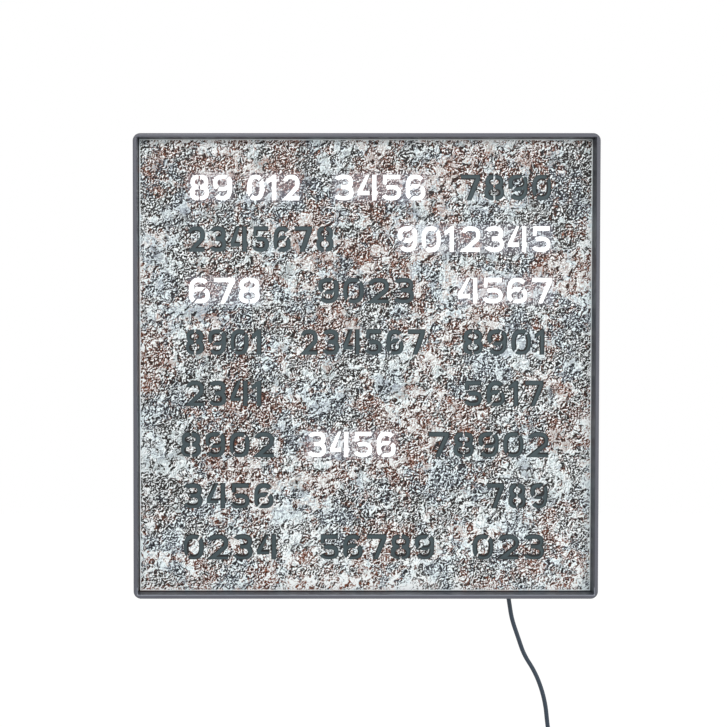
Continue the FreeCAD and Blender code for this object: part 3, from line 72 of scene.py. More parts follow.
CORD_RADIUS = 0.0019
ROUTE_MM = (
    (104.2, 11.6, -187.0),
    (113.4, 11.6, -187.0),
    (122.2, 11.0, -191.8),
    (127.2, 10.4, -200.3),
    (129.0, 9.8, -210.6),
    (131.2, 9.2, -224.2),
    (137.3, 8.6, -241.3),
    (142.3, 8.0, -256.0),
    (151.6, 7.4, -270.2),
    (158.0, 6.8, -285.2),
    (162.3, 6.2, -301.5),
    (164.0, 5.6, -318.0),
    (166.5, 5.2, -334.0),
)
LEAD_RUN = 14.0
TAIL_RUN = 11.0
TAIL_SLANTS = ((11.0, 20.0), (10.5, 0.0))
COIL = dict(x=156.5, drop=377.9, depth=5.0, outer=27.0, pitch=4.4, turns=2.3, layers=4, start=30.0)
POINTS_A_TURN = 16
SMALL_TURN = 1e-4


def coil_line(turned):
    """The coil's centre line: the radius falls by a pitch a turn, and rises in the next layer.

    In the half turn round each reversal the radius is a parabola and the depth a sine.
    """
    c = COIL
    layer = c["turns"] * 2 * np.pi
    ease = np.pi / 2
    reversal = np.clip(np.round(turned / layer), 1, c["layers"] - 1)
    past = turned - reversal * layer
    away = np.where(abs(past) < ease, (past**2 / ease + ease) / 2, abs(past))
    climb = np.where(abs(past) < ease, (np.sin(past * np.pi / 2 / ease) + 1) / 2, past > 0)
    drift = c["pitch"] * away / (2 * np.pi)
    inner = c["outer"] - c["pitch"] * c["turns"]
    radius = np.where(reversal % 2 == 1, inner + drift, c["outer"] - drift)
    angle = np.radians(c["start"]) - turned
    depth = c["depth"] + c["pitch"] * (reversal - 1 + climb)
    return radius, angle, depth


def coil_points(turned, share=1.0):
    """Points of the coil in millimetres from the clock's centre, with the radius times share."""
    radius, angle, depth = coil_line(turned)
    x = COIL["x"] + share * radius * np.cos(angle)
    return np.stack([x, depth, -COIL["drop"] + share * radius * np.sin(angle)], axis=-1)


def cord_points():
    """The control points: the route, the coil at sixteen points a turn, and the tail."""
    whole = COIL["turns"] * COIL["layers"] * 2 * np.pi
    turned = np.linspace(0, whole, round(POINTS_A_TURN * whole / (2 * np.pi)) + 1)
    # A spline of order three cuts inside its control points, so these lie a little farther out
    share = 1 / (0.75 + 0.25 * math.cos(turned[1]))
    ends = coil_points(np.array([0.0, SMALL_TURN, whole - SMALL_TURN, whole]))
    way_in = (ends[1] - ends[0]) / np.linalg.norm(ends[1] - ends[0])
    way_out = (ends[3] - ends[2]) / np.linalg.norm(ends[3] - ends[2])
    start = ends[0] - way_in * 2 * CORD_RADIUS / MM
    end = ends[3] + way_out * 2 * CORD_RADIUS / MM
    tail = [end, end + way_out * TAIL_RUN]
    for run, slant in TAIL_SLANTS:
        lean = math.radians(slant)
        tail.append(tail[-1] + np.array([-math.sin(lean), 0, -math.cos(lean)]) * run)
    turns = coil_points(turned[1:-1], share)
    route = np.vstack([ROUTE_MM, start - way_in * LEAD_RUN, start, turns, *tail])
    return route * (MM, -MM, MM) + (0, 0, CENTRE_Z)


def make_cord():
    """The cord as one NURBS spline with a round section, in place of its three CAD solids."""
    points = cord_points()
    curve = bpy.data.curves.new("cord", "CURVE")
    curve.dimensions = "3D"
    curve.bevel_depth = 1.0
    curve.bevel_resolution = 5
    curve.resolution_u = 5
    curve.use_fill_caps = True
    spline = curve.splines.new("NURBS")
    spline.points.add(len(points) - 1)
    spline.points.foreach_set("co", np.c_[points, np.ones(len(points))].ravel())
    spline.points.foreach_set("radius", np.full(len(points), CORD_RADIUS))
    spline.order_u = 3
    spline.use_endpoint_u = True
    cord = bpy.data.objects.new("cord", curve)
    bpy.context.collection.objects.link(cord)
    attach(cord, "clock")
    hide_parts("cord_upper", "cord_coil", "cord_tail")


# The photograph's view: the place in metres, the tip in degrees, the lens in millimetres, and the
# shifts as shares of the picture's width

EYE = (-0.1, -0.932, CENTRE_Z + 0.06)
TIPPED_DOWN = 1.06
LENS = 52.08
SHIFT = (0.1566, -0.0648)


def make_camera():
    """The photograph's view: 900 mm in front, left of and above the middle, tipped down."""
    data = bpy.data.cameras.new("camera")
    camera = bpy.data.objects.new("camera", data)
    bpy.context.collection.objects.link(camera)
    camera.location = EYE
    camera.rotation_euler = (math.radians(90 - TIPPED_DOWN), 0, 0)
    data.lens = LENS
    data.sensor_width = 36
    data.shift_x, data.shift_y = SHIFT
    data.clip_start, data.clip_end = 0.01, 50
    bpy.context.scene.camera = camera


make_camera()
make_cord()


# The face's digits, worked out in millimetres on the face plate

CAP = 22.2
STROKE = 4.4
BRIDGE = 1.5
SPACE = 3.5
# The point the mask's unlit openings spread from, which places their painted shadow
SHADOW_SPREAD_FROM = (-20.0, 110.0)
FULLNESS = 2.5
ARC_STEP = 9
ARC_LEAST = 6
FIRST_ROW = 154.5
ROW_PITCH = 44.5

# A one is narrower than the other digits, by this share

SLIM = 0.62

# A lit digit's strokes are a little thinner. In the mask the unlit digits are thinner and spread,
# which leaves a painted shadow of the cut edges along them, and the lit ones are a little wider.

LIT_THINNER = 0.6
MASK_SHADOW_THINNER = 1.2
MASK_WIDER = 0.1
MASK_SHADOW_SPREAD = 0.0045

# In each row: the left edge and the width of each group, its digits, and whether it is lit

ROWS = (
    ((-151.7, 36.5, "89", 1), (-102.1, 45.2, "012", 1), (-27.3, 79.2, "3456", 1),
     (82.3, 78.3, "7890", 0)),
    ((-153.5, 126.1, "2345678", 0), (28.3, 132.3, "9012345", 1)),
    ((-152.6, 61.3, "678", 1), (-40.9, 83.1, "9023", 0), (80.2, 81.8, "4567", 1)),
    ((-155.2, 67.8, "8901", 0), (-56.0, 107.9, "234567", 0), (84.6, 73.3, "8901", 0)),
    ((-155.2, 67.8, "2341", 0), (85.4, 69.4, "5617", 0)),
    ((-159.6, 80.9, "8902", 0), (-50.2, 77.0, "3456", 1), (55.1, 104.1, "78902", 0)),
    ((-157.8, 78.7, "3456", 0), (105.6, 53.2, "789", 0)),
    ((-157.3, 81.3, "0234", 0), (-39.5, 100.0, "56789", 0), (93.5, 62.4, "023", 0)),
)


def arc(x, z, rx, rz, start, end, fullness=FULLNESS):
    """Points of a superellipse: each half axis times the cosine or sine to the power 2/fullness."""
    count = max(ARC_LEAST, int(abs(end - start) / ARC_STEP) + 1)
    a = np.radians(np.linspace(start, end, count))
    c, s = np.cos(a), np.sin(a)
    power = 2 / fullness
    return np.c_[
        x + rx * np.sign(c) * abs(c) ** power,
        z + rz * np.sign(s) * abs(s) ** power,
    ]


def stroke(path, width):
    """The outline of a stroke: the path moved half the width to each side, with mitred bends."""
    step = np.diff(path, axis=0)
    step /= np.linalg.norm(step, axis=1)[:, None]
    side = np.c_[-step[:, 1], step[:, 0]]
    before, after = np.vstack([side[:1], side]), np.vstack([side, side[-1:]])
    mitre = (before + after) / (1 + (before * after).sum(1))[:, None]
    return np.vstack([path + mitre * width / 2, (path - mitre * width / 2)[::-1]])


def left_of(outline, point, slant):
    """The stretch of a closed line that is half a bridge or more to the left of a slanted line.

    Both its ends lie where straight lines between the points reach that distance.
    """
    lean = math.radians(slant)
    away = (outline - point) @ (-math.sin(lean), math.cos(lean)) - BRIDGE / 2
    first = np.flatnonzero((away >= 0) & (np.roll(away, 1) < 0))[0]
    outline, away = np.roll(outline, -first, axis=0), np.roll(away, -first)
    count = (away >= 0).sum()
    ends = []
    for kept, left in ((0, -1), (count - 1, count)):
        share = away[kept] / (away[kept] - away[left])
        ends.append(outline[kept] + share * (outline[left] - outline[kept]))
    return np.vstack([ends[0], outline[:count], ends[1]])


def halves(outer, inners, point, slant):
    """A ring, or two on each other, cut into one shape on each side of a slanted bridge.

    The inner lines are in order along the bridge, from its foot.
    """
    shapes = []
    for turn, row in ((0, inners), (180, inners[::-1])):
        edges = [left_of(inner, point, slant + turn)[::-1] for inner in row]
        shapes.append(np.vstack([left_of(outer, point, slant + turn), *edges]))
    return shapes


def ring(x, z, rx, rz):
    """A closed superellipse."""
    return arc(x, z, rx, rz, 0, 360)[:-1]


def waist_angle(half, w):
    """Where a lobe of that half height comes to the middle of the waist, in degrees."""
    return math.degrees(math.asin(((half - w / 2) / half) ** (FULLNESS / 2)))


def digit_0(wide, w):
    """A superellipse ring, cut by a slanted bridge."""
    mid, level = wide / 2, CAP / 2
    outer, inner = ring(mid, level, mid, level), ring(mid, level, mid - w, level - w)
    return halves(outer, [inner], (mid, level), 58)


def digit_1(wide, w):
    """A post with a flag, all of straight lines."""
    left, right = wide / 2 - w / 2 + 0.6, wide / 2 + w / 2 + 0.6
    flag, tip, root = 4.4, 8.6, 5.6
    return [np.array([
        (left, 0), (right, 0), (right, CAP), (left + w * 0.25, CAP),
        (left - flag, CAP - flag), (left - flag, CAP - tip), (left, CAP - root),
    ])]


def digit_2(wide, w):
    """One stroke, along an arc and then a straight foot."""
    h = w / 2
    hook = arc(wide / 2, 0.75 * CAP - h, wide / 2 - h, 0.25 * CAP, 165, -38)
    foot = np.array([(h * 1.9, h), (wide - 0.2, h)])
    return [stroke(np.vstack([hook, foot]), w)]


def lobes(wide, w):
    """The middle and half height of the upper and the lower lobe of a three or an eight."""
    waist = 0.52 * CAP
    upper, lower = (CAP - waist + w / 2) / 2, (waist + w / 2) / 2
    return (wide / 2, CAP - upper, wide / 2 - 0.5, upper), (wide / 2, lower, wide / 2, lower)


def digit_3(wide, w):
    """Out along the outer arcs of two lobes, and back along their inner arcs and a middle bar."""
    (x, z1, rx1, r1), (x, z2, rx2, r2) = lobes(wide, w)
    bar = 0.36 * wide
    return [np.vstack([
        arc(x, z1, rx1, r1, 158, -waist_angle(r1, w)),
        arc(x, z2, rx2, r2, waist_angle(r2, w), -158),
        arc(x, z2, rx2 - w, r2 - w, -158, 90),
        [(bar, z2 + r2 - w), (bar, z1 - r1 + w)],
        arc(x, z1, rx1 - w, r1 - w, -90, 158),
    ])]


def digit_4(wide, w):
    """A post with a stub, and apart from it an arm with a slanted back."""
    right, level = wide - 0.9, 0.2 * CAP
    edge, foot = right - w - BRIDGE, w * 1.05
    post = np.array([
        (right - w, 0), (right, 0), (right, level), (wide, level), (wide, level + w),
        (right, level + w), (right, CAP), (right - w, CAP),
    ])
    arm = np.array([
        (0, level), (edge, level), (edge, level + w), (foot, level + w),
        (edge, CAP), (edge - w * 0.96, CAP), (0, level + w),
    ])
    return [post, arm]


def digit_5(wide, w):
    """A roof with an upright, and apart from it a bowl that is a stroke along an arc."""
    low, left = 0.62 * CAP, 0.9
    roof = np.array([
        (wide - 0.9, CAP), (left + 0.4, CAP), (left, low), (left + w * 0.9, low),
        (left + 0.4 + w * 0.9, CAP - w), (wide - 0.9, CAP - w),
    ])
    bowl = arc(wide / 2 - 0.2, 0.3 * CAP, wide / 2 - w / 2, 0.3 * CAP - w / 2, 126, -160)
    return [roof, stroke(bowl, w)]


def digit_6(wide, w):
    """The back runs into the bowl's upper half, and the bowl's lower half is apart."""
    mid, level, half = wide / 2, CAP / 2, 0.32 * CAP
    bowl, hollow = ring(mid, half, mid, half), ring(mid, half, mid - w, half - w)
    _upper, lower = halves(bowl, [hollow], (mid, half), 50)
    left = left_of(bowl, (mid, half), 50)
    past = left[:, 1] < half
    rise = left[(left[:, 0] > w + 0.4) & (left[:, 1] > half)]
    back = np.vstack([
        arc(mid, level, mid, level, 42, 180),
        left[past],
        left_of(hollow, (mid, half), 50)[::-1],
        rise,
        arc(mid, level, mid - w, level - w, 176, 42),
    ])
    return [back, lower]


def digit_7(wide, w):
    """A bar with a slanted leg."""
    foot = 0.42 * wide
    return [np.array([
        (0, CAP), (wide, CAP), (wide, CAP - w), (foot + w * 0.5, 0),
        (foot - w * 0.55, 0), (wide - w * 1.25, CAP - w), (0, CAP - w),
    ])]


def digit_8(wide, w):
    """Two lobes round two hollows, cut by an upright bridge."""
    (x, z1, rx1, r1), (x, z2, rx2, r2) = lobes(wide, w)
    a1, a2 = waist_angle(r1, w), waist_angle(r2, w)
    outer = np.vstack([arc(x, z1, rx1, r1, -a1, 180 + a1), arc(x, z2, rx2, r2, 180 - a2, 360 + a2)])
    inners = [ring(x, z2, rx2 - w, r2 - w), ring(x, z1, rx1 - w, r1 - w)]
    return halves(outer, inners, (x, CAP / 2), 90)


def digit_9(wide, w):
    """A six given half a turn."""
    return [(wide, CAP) - shape for shape in digit_6(wide, w)]


DIGITS = (
    digit_0, digit_1, digit_2, digit_3, digit_4, digit_5, digit_6, digit_7, digit_8, digit_9
)


def face_outlines(lit, width, shadow_spread=0.0):
    """The outlines of the lit or the unlit digits, spread from a point near the face's top; the mask
    uses the spread to place a painted shadow along the cut edges.
    """
    outlines = []
    for row, groups in enumerate(ROWS):
        foot = FIRST_ROW - ROW_PITCH * row - CAP / 2
        for left, whole, digits, shines in groups:
            if shines != lit:
                continue
            shares = [SLIM if digit == "1" else 1 for digit in digits]
            unit = (whole - SPACE * (len(digits) - 1)) / sum(shares)
            x = left
            for digit, share in zip(digits, shares):
                wide = unit * share
                corner = np.array([x, foot])
                middle = corner + (wide / 2, CAP / 2)
                corner = corner + shadow_spread * (middle - SHADOW_SPREAD_FROM)
                outlines += [shape + corner for shape in DIGITS[int(digit)](wide, width)]
                x += wide + SPACE
    return outlines


def rounded_square(half, radius):
    """A square of that half width with round corners, as one closed line."""
    inner = half - radius
    corners = [(inner, inner, 0), (-inner, inner, 90), (-inner, -inner, 180), (inner, -inner, 270)]
    return np.vstack([arc(x, z, radius, radius, a, a + 90, 2) for x, z, a in corners])


def cut_sheet(name, outlines, near, far):
    """A flat sheet with holes between two depths in millimetres, filled as a flat curve."""
    curve = bpy.data.curves.new(name, "CURVE")
    curve.dimensions = "2D"
    curve.fill_mode = "BOTH"
    curve.extrude = (far - near) / 2 * MM
    for outline in outlines:
        spline = curve.splines.new("POLY")
        spline.points.add(len(outline) - 1)
        flat = np.c_[outline * MM, np.zeros(len(outline)), np.ones(len(outline))]
        spline.points.foreach_set("co", flat.ravel())
        spline.use_cyclic_u = True
    holder = bpy.data.objects.new(name + "_curve", curve)
    bpy.context.collection.objects.link(holder)
    mesh = bpy.data.meshes.new_from_object(holder)
    bpy.data.objects.remove(holder)
    upright = Matrix(((1, 0, 0, 0), (0, 0, -1, -(near + far) / 2 * MM), (0, 1, 0, CENTRE_Z),
                      (0, 0, 0, 1)))
    mesh.transform(upright)
    mesh.name = name
    sheet = bpy.data.objects.new(name, mesh)
    bpy.context.collection.objects.link(sheet)
    return sheet


# Materials

# The colour mix node's sockets: its share, its two colours and its result

MIX_SOCKETS = (0, 6, 7)
MIX_RESULT = 2


class Paint:
    """A material's node tree, with short ways to add what a moulded or printed finish needs."""

    def __init__(self, name, colour=(0.5, 0.5, 0.5), rough=0.5, metal=0.0, specular=0.5):
        self.material = bpy.data.materials.new(name)
        self.material.use_nodes = True
        self.tree = self.material.node_tree
        self.shader = self.tree.nodes["Principled BSDF"]
        self.set("Base Color", (*colour, 1))
        self.set("Roughness", rough)
        self.set("Metallic", metal)
        self.set("Specular IOR Level", specular)
        self.place = self.tree.nodes.new("ShaderNodeTexCoord").outputs["Object"]

    def set(self, name, value):
        """A plain number or colour on the shader, or a link to it."""
        socket = self.shader.inputs[name]
        if isinstance(value, bpy.types.NodeSocket):
            self.tree.links.new(value, socket)
        else:
            socket.default_value = value

    def node(self, kind, inputs=(), **settings):
        """A new node of that kind, with its settings and its inputs as numbers or links."""
        made = self.tree.nodes.new("ShaderNode" + kind)
        for key, value in settings.items():
            setattr(made, key, value)
        for key, value in dict(inputs).items():
            if isinstance(value, bpy.types.NodeSocket):
                self.tree.links.new(value, made.inputs[key])
            else:
                made.inputs[key].default_value = value
        return made

    def moved(self, offset=(0, 0, 0), scale=(1, 1, 1), place=None):
        """The place, scaled and then moved."""
        inputs = {"Vector": place or self.place, "Location": offset, "Scale": scale}
        return self.node("Mapping", inputs).outputs["Vector"]

    def noise(self, scale, detail=2.0, rough=0.5, place=None):
        """Noise whose cells are about `scale` metres across, from 0 to 1."""
        inputs = {
            "Vector": place or self.place, "Scale": 1 / scale, "Detail": detail, "Roughness": rough,
        }
        return self.node("TexNoise", inputs).outputs["Fac"]

    def ramp(self, value, low, high, a=0.0, b=1.0):
        """A smooth step from a to b as the value goes from low to high."""
        inputs = {"Value": value, "From Min": low, "From Max": high, "To Min": a, "To Max": b}
        made = self.node("MapRange", inputs, interpolation_type="SMOOTHSTEP")
        return made.outputs["Result"]

    def math(self, kind, a, b=0.0):
        """The result of one sum on two numbers or links."""
        return self.node("Math", {0: a, 1: b}, operation=kind).outputs["Value"]

    def mix(self, share, a, b):
        """Colour a, or b where the share is 1."""
        made = self.node("Mix", data_type="RGBA")
        for socket, value in zip(MIX_SOCKETS, (share, a, b)):
            if isinstance(value, bpy.types.NodeSocket):
                self.tree.links.new(value, made.inputs[socket])
            else:
                plain = (*value, 1) if isinstance(value, tuple) else value
                made.inputs[socket].default_value = plain
        return made.outputs[MIX_RESULT]

    def shades(self, value, stops):
        """A colour read off a row of stops, each a value and its colour."""
        made = self.node("ValToRGB", {"Fac": value})
        steps = made.color_ramp.elements
        for step, (place, colour) in enumerate(stops):
            stop = steps[step] if step < 2 else steps.new(place)
            stop.position = place
            stop.color = (*colour, 1)
        return made.outputs["Color"]

    def reach(self, shift=0.0):
        """How far the place is from the clock's centre, up or across, in metres.

        The shift moves the centre to the right and up.
        """
        centred = self.moved((-shift, 0, -CENTRE_Z - shift))
        parts = self.node("SeparateXYZ", {"Vector": centred}).outputs
        across, up = (self.math("ABSOLUTE", parts[axis]) for axis in "XZ")
        return self.math("MAXIMUM", across, up)

    def bump(self, height, distance, strength=1.0):
        """The surface rises by up to the distance, in metres, where the height is 1."""
        inputs = {"Height": height, "Distance": distance, "Strength": strength}
        self.set("Normal", self.node("Bump", inputs).outputs["Normal"])


# Moulded finishes: the size of the drift, its share beside the grain's, and the change in gloss

DRIFT_SIZE = 0.05
DRIFT_SHARE = 0.6
GLOSS_CHANGE = 0.07


def moulded(name, colour, rough=0.5, grain=0.0006, depth=0.00004, shift=0.12, specular=0.5):
    """Moulded plastic: a fine spark-eroded grain, and a slight drift in colour and gloss."""
    paint = Paint(name, colour, rough, specular=specular)
    drift = paint.noise(DRIFT_SIZE, 3.0)
    fine = paint.noise(grain, 3.0, 0.6)
    dark = tuple(c * (1 - shift) for c in colour)
    pale = tuple(min(1, c * (1 + shift)) for c in colour)
    speck = paint.math(
        "ADD", paint.math("MULTIPLY", drift, DRIFT_SHARE),
        paint.math("MULTIPLY", fine, 1 - DRIFT_SHARE),
    )
    paint.set("Base Color", paint.mix(paint.ramp(speck, 0.3, 0.7), dark, pale))
    paint.set("Roughness", paint.ramp(fine, 0.2, 0.8, rough - GLOSS_CHANGE, rough + GLOSS_CHANGE))
    paint.bump(fine, depth)
    return paint


def frame_plastic():
    """The frame's satin plastic: painted shade on the walls round the face, darkest next to the
    face, and a painted highlight on the front edge of the lowest wall.
    """
    paint = moulded("frame_plastic", (0.1, 0.104, 0.128), 0.34, 0.0009, 0.00002, 0.08)
    colour = paint.shader.inputs["Base Color"].links[0].from_socket
    place = paint.node("SeparateXYZ", {"Vector": paint.place}).outputs
    depth = place["Y"]
    reach = paint.reach()
    # Painted shade: the walls round the face darken towards the face
    wall = paint.math("LESS_THAN", reach, WALL_EDGE)
    shade = paint.math("MULTIPLY", wall, paint.ramp(depth, -0.0315, -0.024, 0.5, 0.95))
    colour = paint.mix(shade, colour, (0.02, 0.025, 0.034))
    # A painted highlight along the front edge of the lowest wall
    front = paint.math("LESS_THAN", depth, FRONT_FACE)
    low = paint.math("LESS_THAN", place["Z"], CENTRE_Z - LOW_WALL)
    highlight_band = paint.ramp(reach, HIGHLIGHT_START, HIGHLIGHT_END, 1.0, 0.0)
    edge = paint.math("MULTIPLY", highlight_band, paint.math("MULTIPLY", front, low))
    paint.set("Base Color", paint.mix(edge, colour, (0.27, 0.29, 0.34)))
    return paint


def plated(name, colour, rough=0.25):
    """Plated metal: fine scratches that run one way, and a slight change in gloss."""
    paint = Paint(name, colour, rough, metal=1.0)
    lines = paint.noise(0.0004, 2.0, place=paint.moved(scale=(1, 12, 1)))
    paint.set("Roughness", paint.ramp(lines, 0.3, 0.7, rough * 0.7, rough * 1.4))
    paint.set("Base Color", paint.mix(lines, tuple(c * 0.85 for c in colour), colour))
    paint.bump(lines, 0.00001)
    return paint


def near_lit(paint, margin, fall):
    """1 over each lit group and the margin round it, and down to 0 over the fall beyond that."""
    parts = paint.node("SeparateXYZ", {"Vector": paint.place}).outputs
    near = None
    for row, groups in enumerate(ROWS):
        level = CENTRE_Z + (FIRST_ROW - ROW_PITCH * row) * MM
        for left, whole, _digits, shines in groups:
            if not shines:
                continue
            shares = []
            for axis, middle, half in (
                ("X", (left + whole / 2) * MM, whole / 2 * MM), ("Z", level, CAP / 2 * MM)
            ):
                away = paint.math("ABSOLUTE", paint.math("SUBTRACT", parts[axis], middle))
                edge = half + margin
                shares.append(paint.ramp(away, edge, edge + fall, 1.0, 0.0))
            inside = paint.math("MULTIPLY", *shares)
            near = inside if near is None else paint.math("MAXIMUM", near, inside)
    return near


# The print: the sizes of what it shows, in metres, and the side step that shows its light edges

CURL_SIZE = 0.008
FLAKE_SIZE = 0.0085
CRACK_SIZE = 0.0075
GRAIN_SIZE = 0.0016
HAZE_SIZE = 0.022
STREAK_SIZE = 0.0013
BROAD_SIZE = 0.05
RUST_SIZE = 0.045
TINT_SIZE = 0.03
EDGE_STEP = 0.0011
GRAIN_STEP = 0.0008

# The pale rim and the shaded gap beyond it, as half widths, and the centre's move up and right

RIM = (0.1946, 0.1949)
GAP = (0.1955, 0.1957)
RIM_SHIFT = 0.0004

# The margin round a lit group and the fall beyond it: of the painted light on the print, with its
# share, and of the glow in the sheet behind

HALO = (-2 * MM, 7 * MM)
HALO_SHARE = 0.17
GLOW = (2.5 * MM, 0.1 * MM)


def stone_print():
    """The face's print: pale curled flakes with a lit and a dark edge on a fine brown-grey grain.

    Thin cracks with a pale ridge beside them cross both, some stretches are hazy and cool, and
    the darker grain is rusty in patches. The print is darker towards the top and paler near the
    foot, and painted light makes it paler towards its bare rim, against the frame's shade. The
    gap round the rim has painted shade to the left and below, and painted light from the lit
    digits hazes the print.
    """
    paint = Paint("stone_print", rough=0.45, specular=0.3)
    wander = paint.node(
        "TexNoise", {"Vector": paint.place, "Scale": 1 / CURL_SIZE, "Detail": 2.0}
    ).outputs["Color"]
    bend = paint.node("VectorMath", {0: wander, 1: (0.5, 0.5, 0.5)}, operation="SUBTRACT")
    push = paint.node("VectorMath", {0: bend.outputs[0], "Scale": CURL_SIZE}, operation="SCALE")
    curled = paint.node(
        "VectorMath", {0: paint.place, 1: push.outputs[0]}, operation="ADD"
    ).outputs[0]

    def blend(a, share, b):
        """a times one less the share, plus b times the share."""
        rest = paint.math("SUBTRACT", 1.0, share)
        return paint.math("ADD", paint.math("MULTIPLY", a, rest), paint.math("MULTIPLY", b, share))

    def near_half(value, reach):
        """1 where the value is a half, down to 0 at the reach from it."""
        away = paint.math("ABSOLUTE", paint.math("SUBTRACT", value, 0.5))
        return paint.ramp(away, 0.0, reach, 1.0, 0.0)

    def from_half(value, gain):
        """How far the value is above a half, times the gain."""
        return paint.math("MULTIPLY", paint.math("SUBTRACT", value, 0.5), gain)

    def pair(scale, detail, rough, at, across):
        """The same noise at the place, and a step across and down from it, or left and up if < 0."""
        x, y, z = at
        moved = (paint.moved((x + d, y, z - d), place=curled) for d in (0, across))
        return [paint.noise(scale, detail, rough, place) for place in moved]

    broad = paint.noise(BROAD_SIZE, 3.0, 0.6, paint.moved((0.37, 0.0, 0.21)))
    grain, lit_grain = pair(GRAIN_SIZE, 1.0, 0.6, (0.2, 0.1, 0.5), GRAIN_STEP)
    crack, ridge = pair(CRACK_SIZE, 2.0, 0.6, (5.0, 1.0, 2.0), -EDGE_STEP)

    # Flakes are where their noise is over a level that is lower, so they are dense, in broad patches
    level = paint.ramp(broad, 0.36, 0.62, 0.60, 0.49)
    edges = [
        paint.math("SUBTRACT", flake, level)
        for flake in pair(FLAKE_SIZE, 4.0, 0.66, (0.9, 0.0, 0.4), -EDGE_STEP)
    ]
    flake, cast = (paint.ramp(edge, 0.0, 0.012) for edge in edges)
    relief = paint.math("SUBTRACT", grain, lit_grain)
    haze = paint.noise(HAZE_SIZE, 3.0, 0.6, paint.moved((4.2, 0, 1.4), place=curled))
    streak = paint.noise(STREAK_SIZE, 2.0, 0.6, paint.moved(scale=(1, 1, 0.08)))

    # The ground: grain, its slope towards the light, the broad drift and dark upright streaks
    ground = paint.math("ADD", 0.315, from_half(grain, 3.8))
    ground = paint.math("ADD", ground, paint.math("MULTIPLY", relief, 3.6))
    ground = paint.math("ADD", ground, from_half(broad, 0.55))
    streaky = paint.math("MULTIPLY", paint.ramp(streak, 0.5, 0.7), paint.ramp(broad, 0.5, 0.42))
    ground = paint.math("SUBTRACT", ground, paint.math("MULTIPLY", streaky, 0.3))
    pale = paint.math("ADD", 0.85, paint.math("MULTIPLY", relief, 0.9))
    tone = blend(ground, flake, pale)

    # Over ground and flakes: the flakes' lit edges, haze, the cracks' ridges, cracks, dark edges
    lit_edge = paint.math("MAXIMUM", paint.math("SUBTRACT", flake, cast), 0.0)
    dark_edge = paint.math("MAXIMUM", paint.math("SUBTRACT", cast, flake), 0.0)
    tone = blend(tone, paint.math("MULTIPLY", lit_edge, 0.7), 1.0)
    tone = blend(tone, paint.ramp(haze, 0.53, 0.60, 0.0, 0.42), 0.54)
    tone = blend(tone, paint.math("MULTIPLY", near_half(ridge, 0.013), 0.5), 0.95)
    tone = blend(tone, paint.math("MULTIPLY", near_half(crack, 0.016), 0.95), 0.02)
    tone = blend(tone, dark_edge, 0.02)

    # Darker towards the top and paler near the foot, painted light towards the rim against the
    # frame's shade, then the rim and the painted shade of its gap
    reach = paint.reach(RIM_SHIFT)
    height = paint.node("SeparateXYZ", {"Vector": paint.place}).outputs["Z"]
    tone = paint.math("ADD", tone, paint.ramp(height, -0.13, 0.05, 0.0, -0.085))
    tone = paint.math("ADD", tone, paint.ramp(height, -0.32, -0.235, 0.13, 0.0))
    tone = paint.math("ADD", tone, paint.ramp(reach, 0.18, 0.195, 0.0, 0.17))
    tone = blend(tone, paint.ramp(reach, *RIM), 0.93)
    tone = blend(tone, paint.ramp(reach, *GAP), 0.03)

    stone = paint.shades(tone, (
        (0.0, (0.009, 0.0075, 0.0065)), (0.16, (0.020, 0.017, 0.015)),
        (0.33, (0.078, 0.067, 0.060)), (0.5, (0.208, 0.20, 0.196)), (0.66, (0.395, 0.425, 0.435)),
        (0.82, (0.65, 0.735, 0.75)), (1.0, (0.95, 0.98, 0.985)),
    ))
    cool = paint.shades(tone, (
        (0.0, (0.010, 0.011, 0.014)), (0.33, (0.082, 0.092, 0.115)), (0.66, (0.33, 0.375, 0.435)),
        (1.0, (0.86, 0.96, 0.98)),
    ))
    rust = paint.shades(tone, (
        (0.0, (0.020, 0.007, 0.004)), (0.33, (0.20, 0.056, 0.025)), (0.52, (0.37, 0.155, 0.09)),
        (0.68, (0.46, 0.42, 0.40)), (1.0, (0.95, 0.98, 0.98)),
    ))
    rusty = paint.noise(RUST_SIZE, 7.0, 0.86, paint.moved((1.7, 0, 2.3), place=curled))
    tint = paint.noise(TINT_SIZE, 4.0, 0.65, paint.moved((2.4, 0, 3.1), place=curled))
    stone = paint.mix(paint.ramp(tint, 0.45, 0.58, 0.0, 0.9), stone, cool)
    stone = paint.mix(paint.ramp(rusty, 0.505, 0.53), stone, rust)
    # Painted light from the lit digits, a pale haze on the print round each lit group
    painted_glow = paint.math("MULTIPLY", near_lit(paint, *HALO), HALO_SHARE)
    paint.set("Base Color", paint.mix(painted_glow, stone, (0.66, 0.63, 0.74)))
    paint.set("Roughness", paint.ramp(flake, 0.0, 1.0, 0.5, 0.42))
    paint.bump(flake, 0.00004, 0.5)
    return paint


def smoked_sheet():
    """The diffuser: smoked, with a soft glow behind the lit groups, bounded by their chambers."""
    paint = Paint("smoked_sheet")
    glow = near_lit(paint, *GLOW)
    drift = paint.noise(0.012, 2.0)
    paint.set("Base Color", paint.mix(drift, (0.028, 0.047, 0.054), (0.056, 0.088, 0.099)))
    paint.set("Emission Color", (1.0, 0.99, 1.0, 1))
    strength = paint.ramp(drift, 0.2, 0.8, 1.15, 1.4)
    paint.set("Emission Strength", paint.math("MULTIPLY", glow, strength))
    paint.bump(paint.noise(0.0005, 2.0), 0.00001)
    return paint


def give(paint, *names):
    """Puts a finish on CAD nodes or pieces."""
    for name in names:
        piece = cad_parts.get(name) or bpy.data.objects[name]
        piece.data.materials.clear()
        piece.data.materials.append(paint.material)


# The face: the cut plate and the mask printed on the sheet behind it

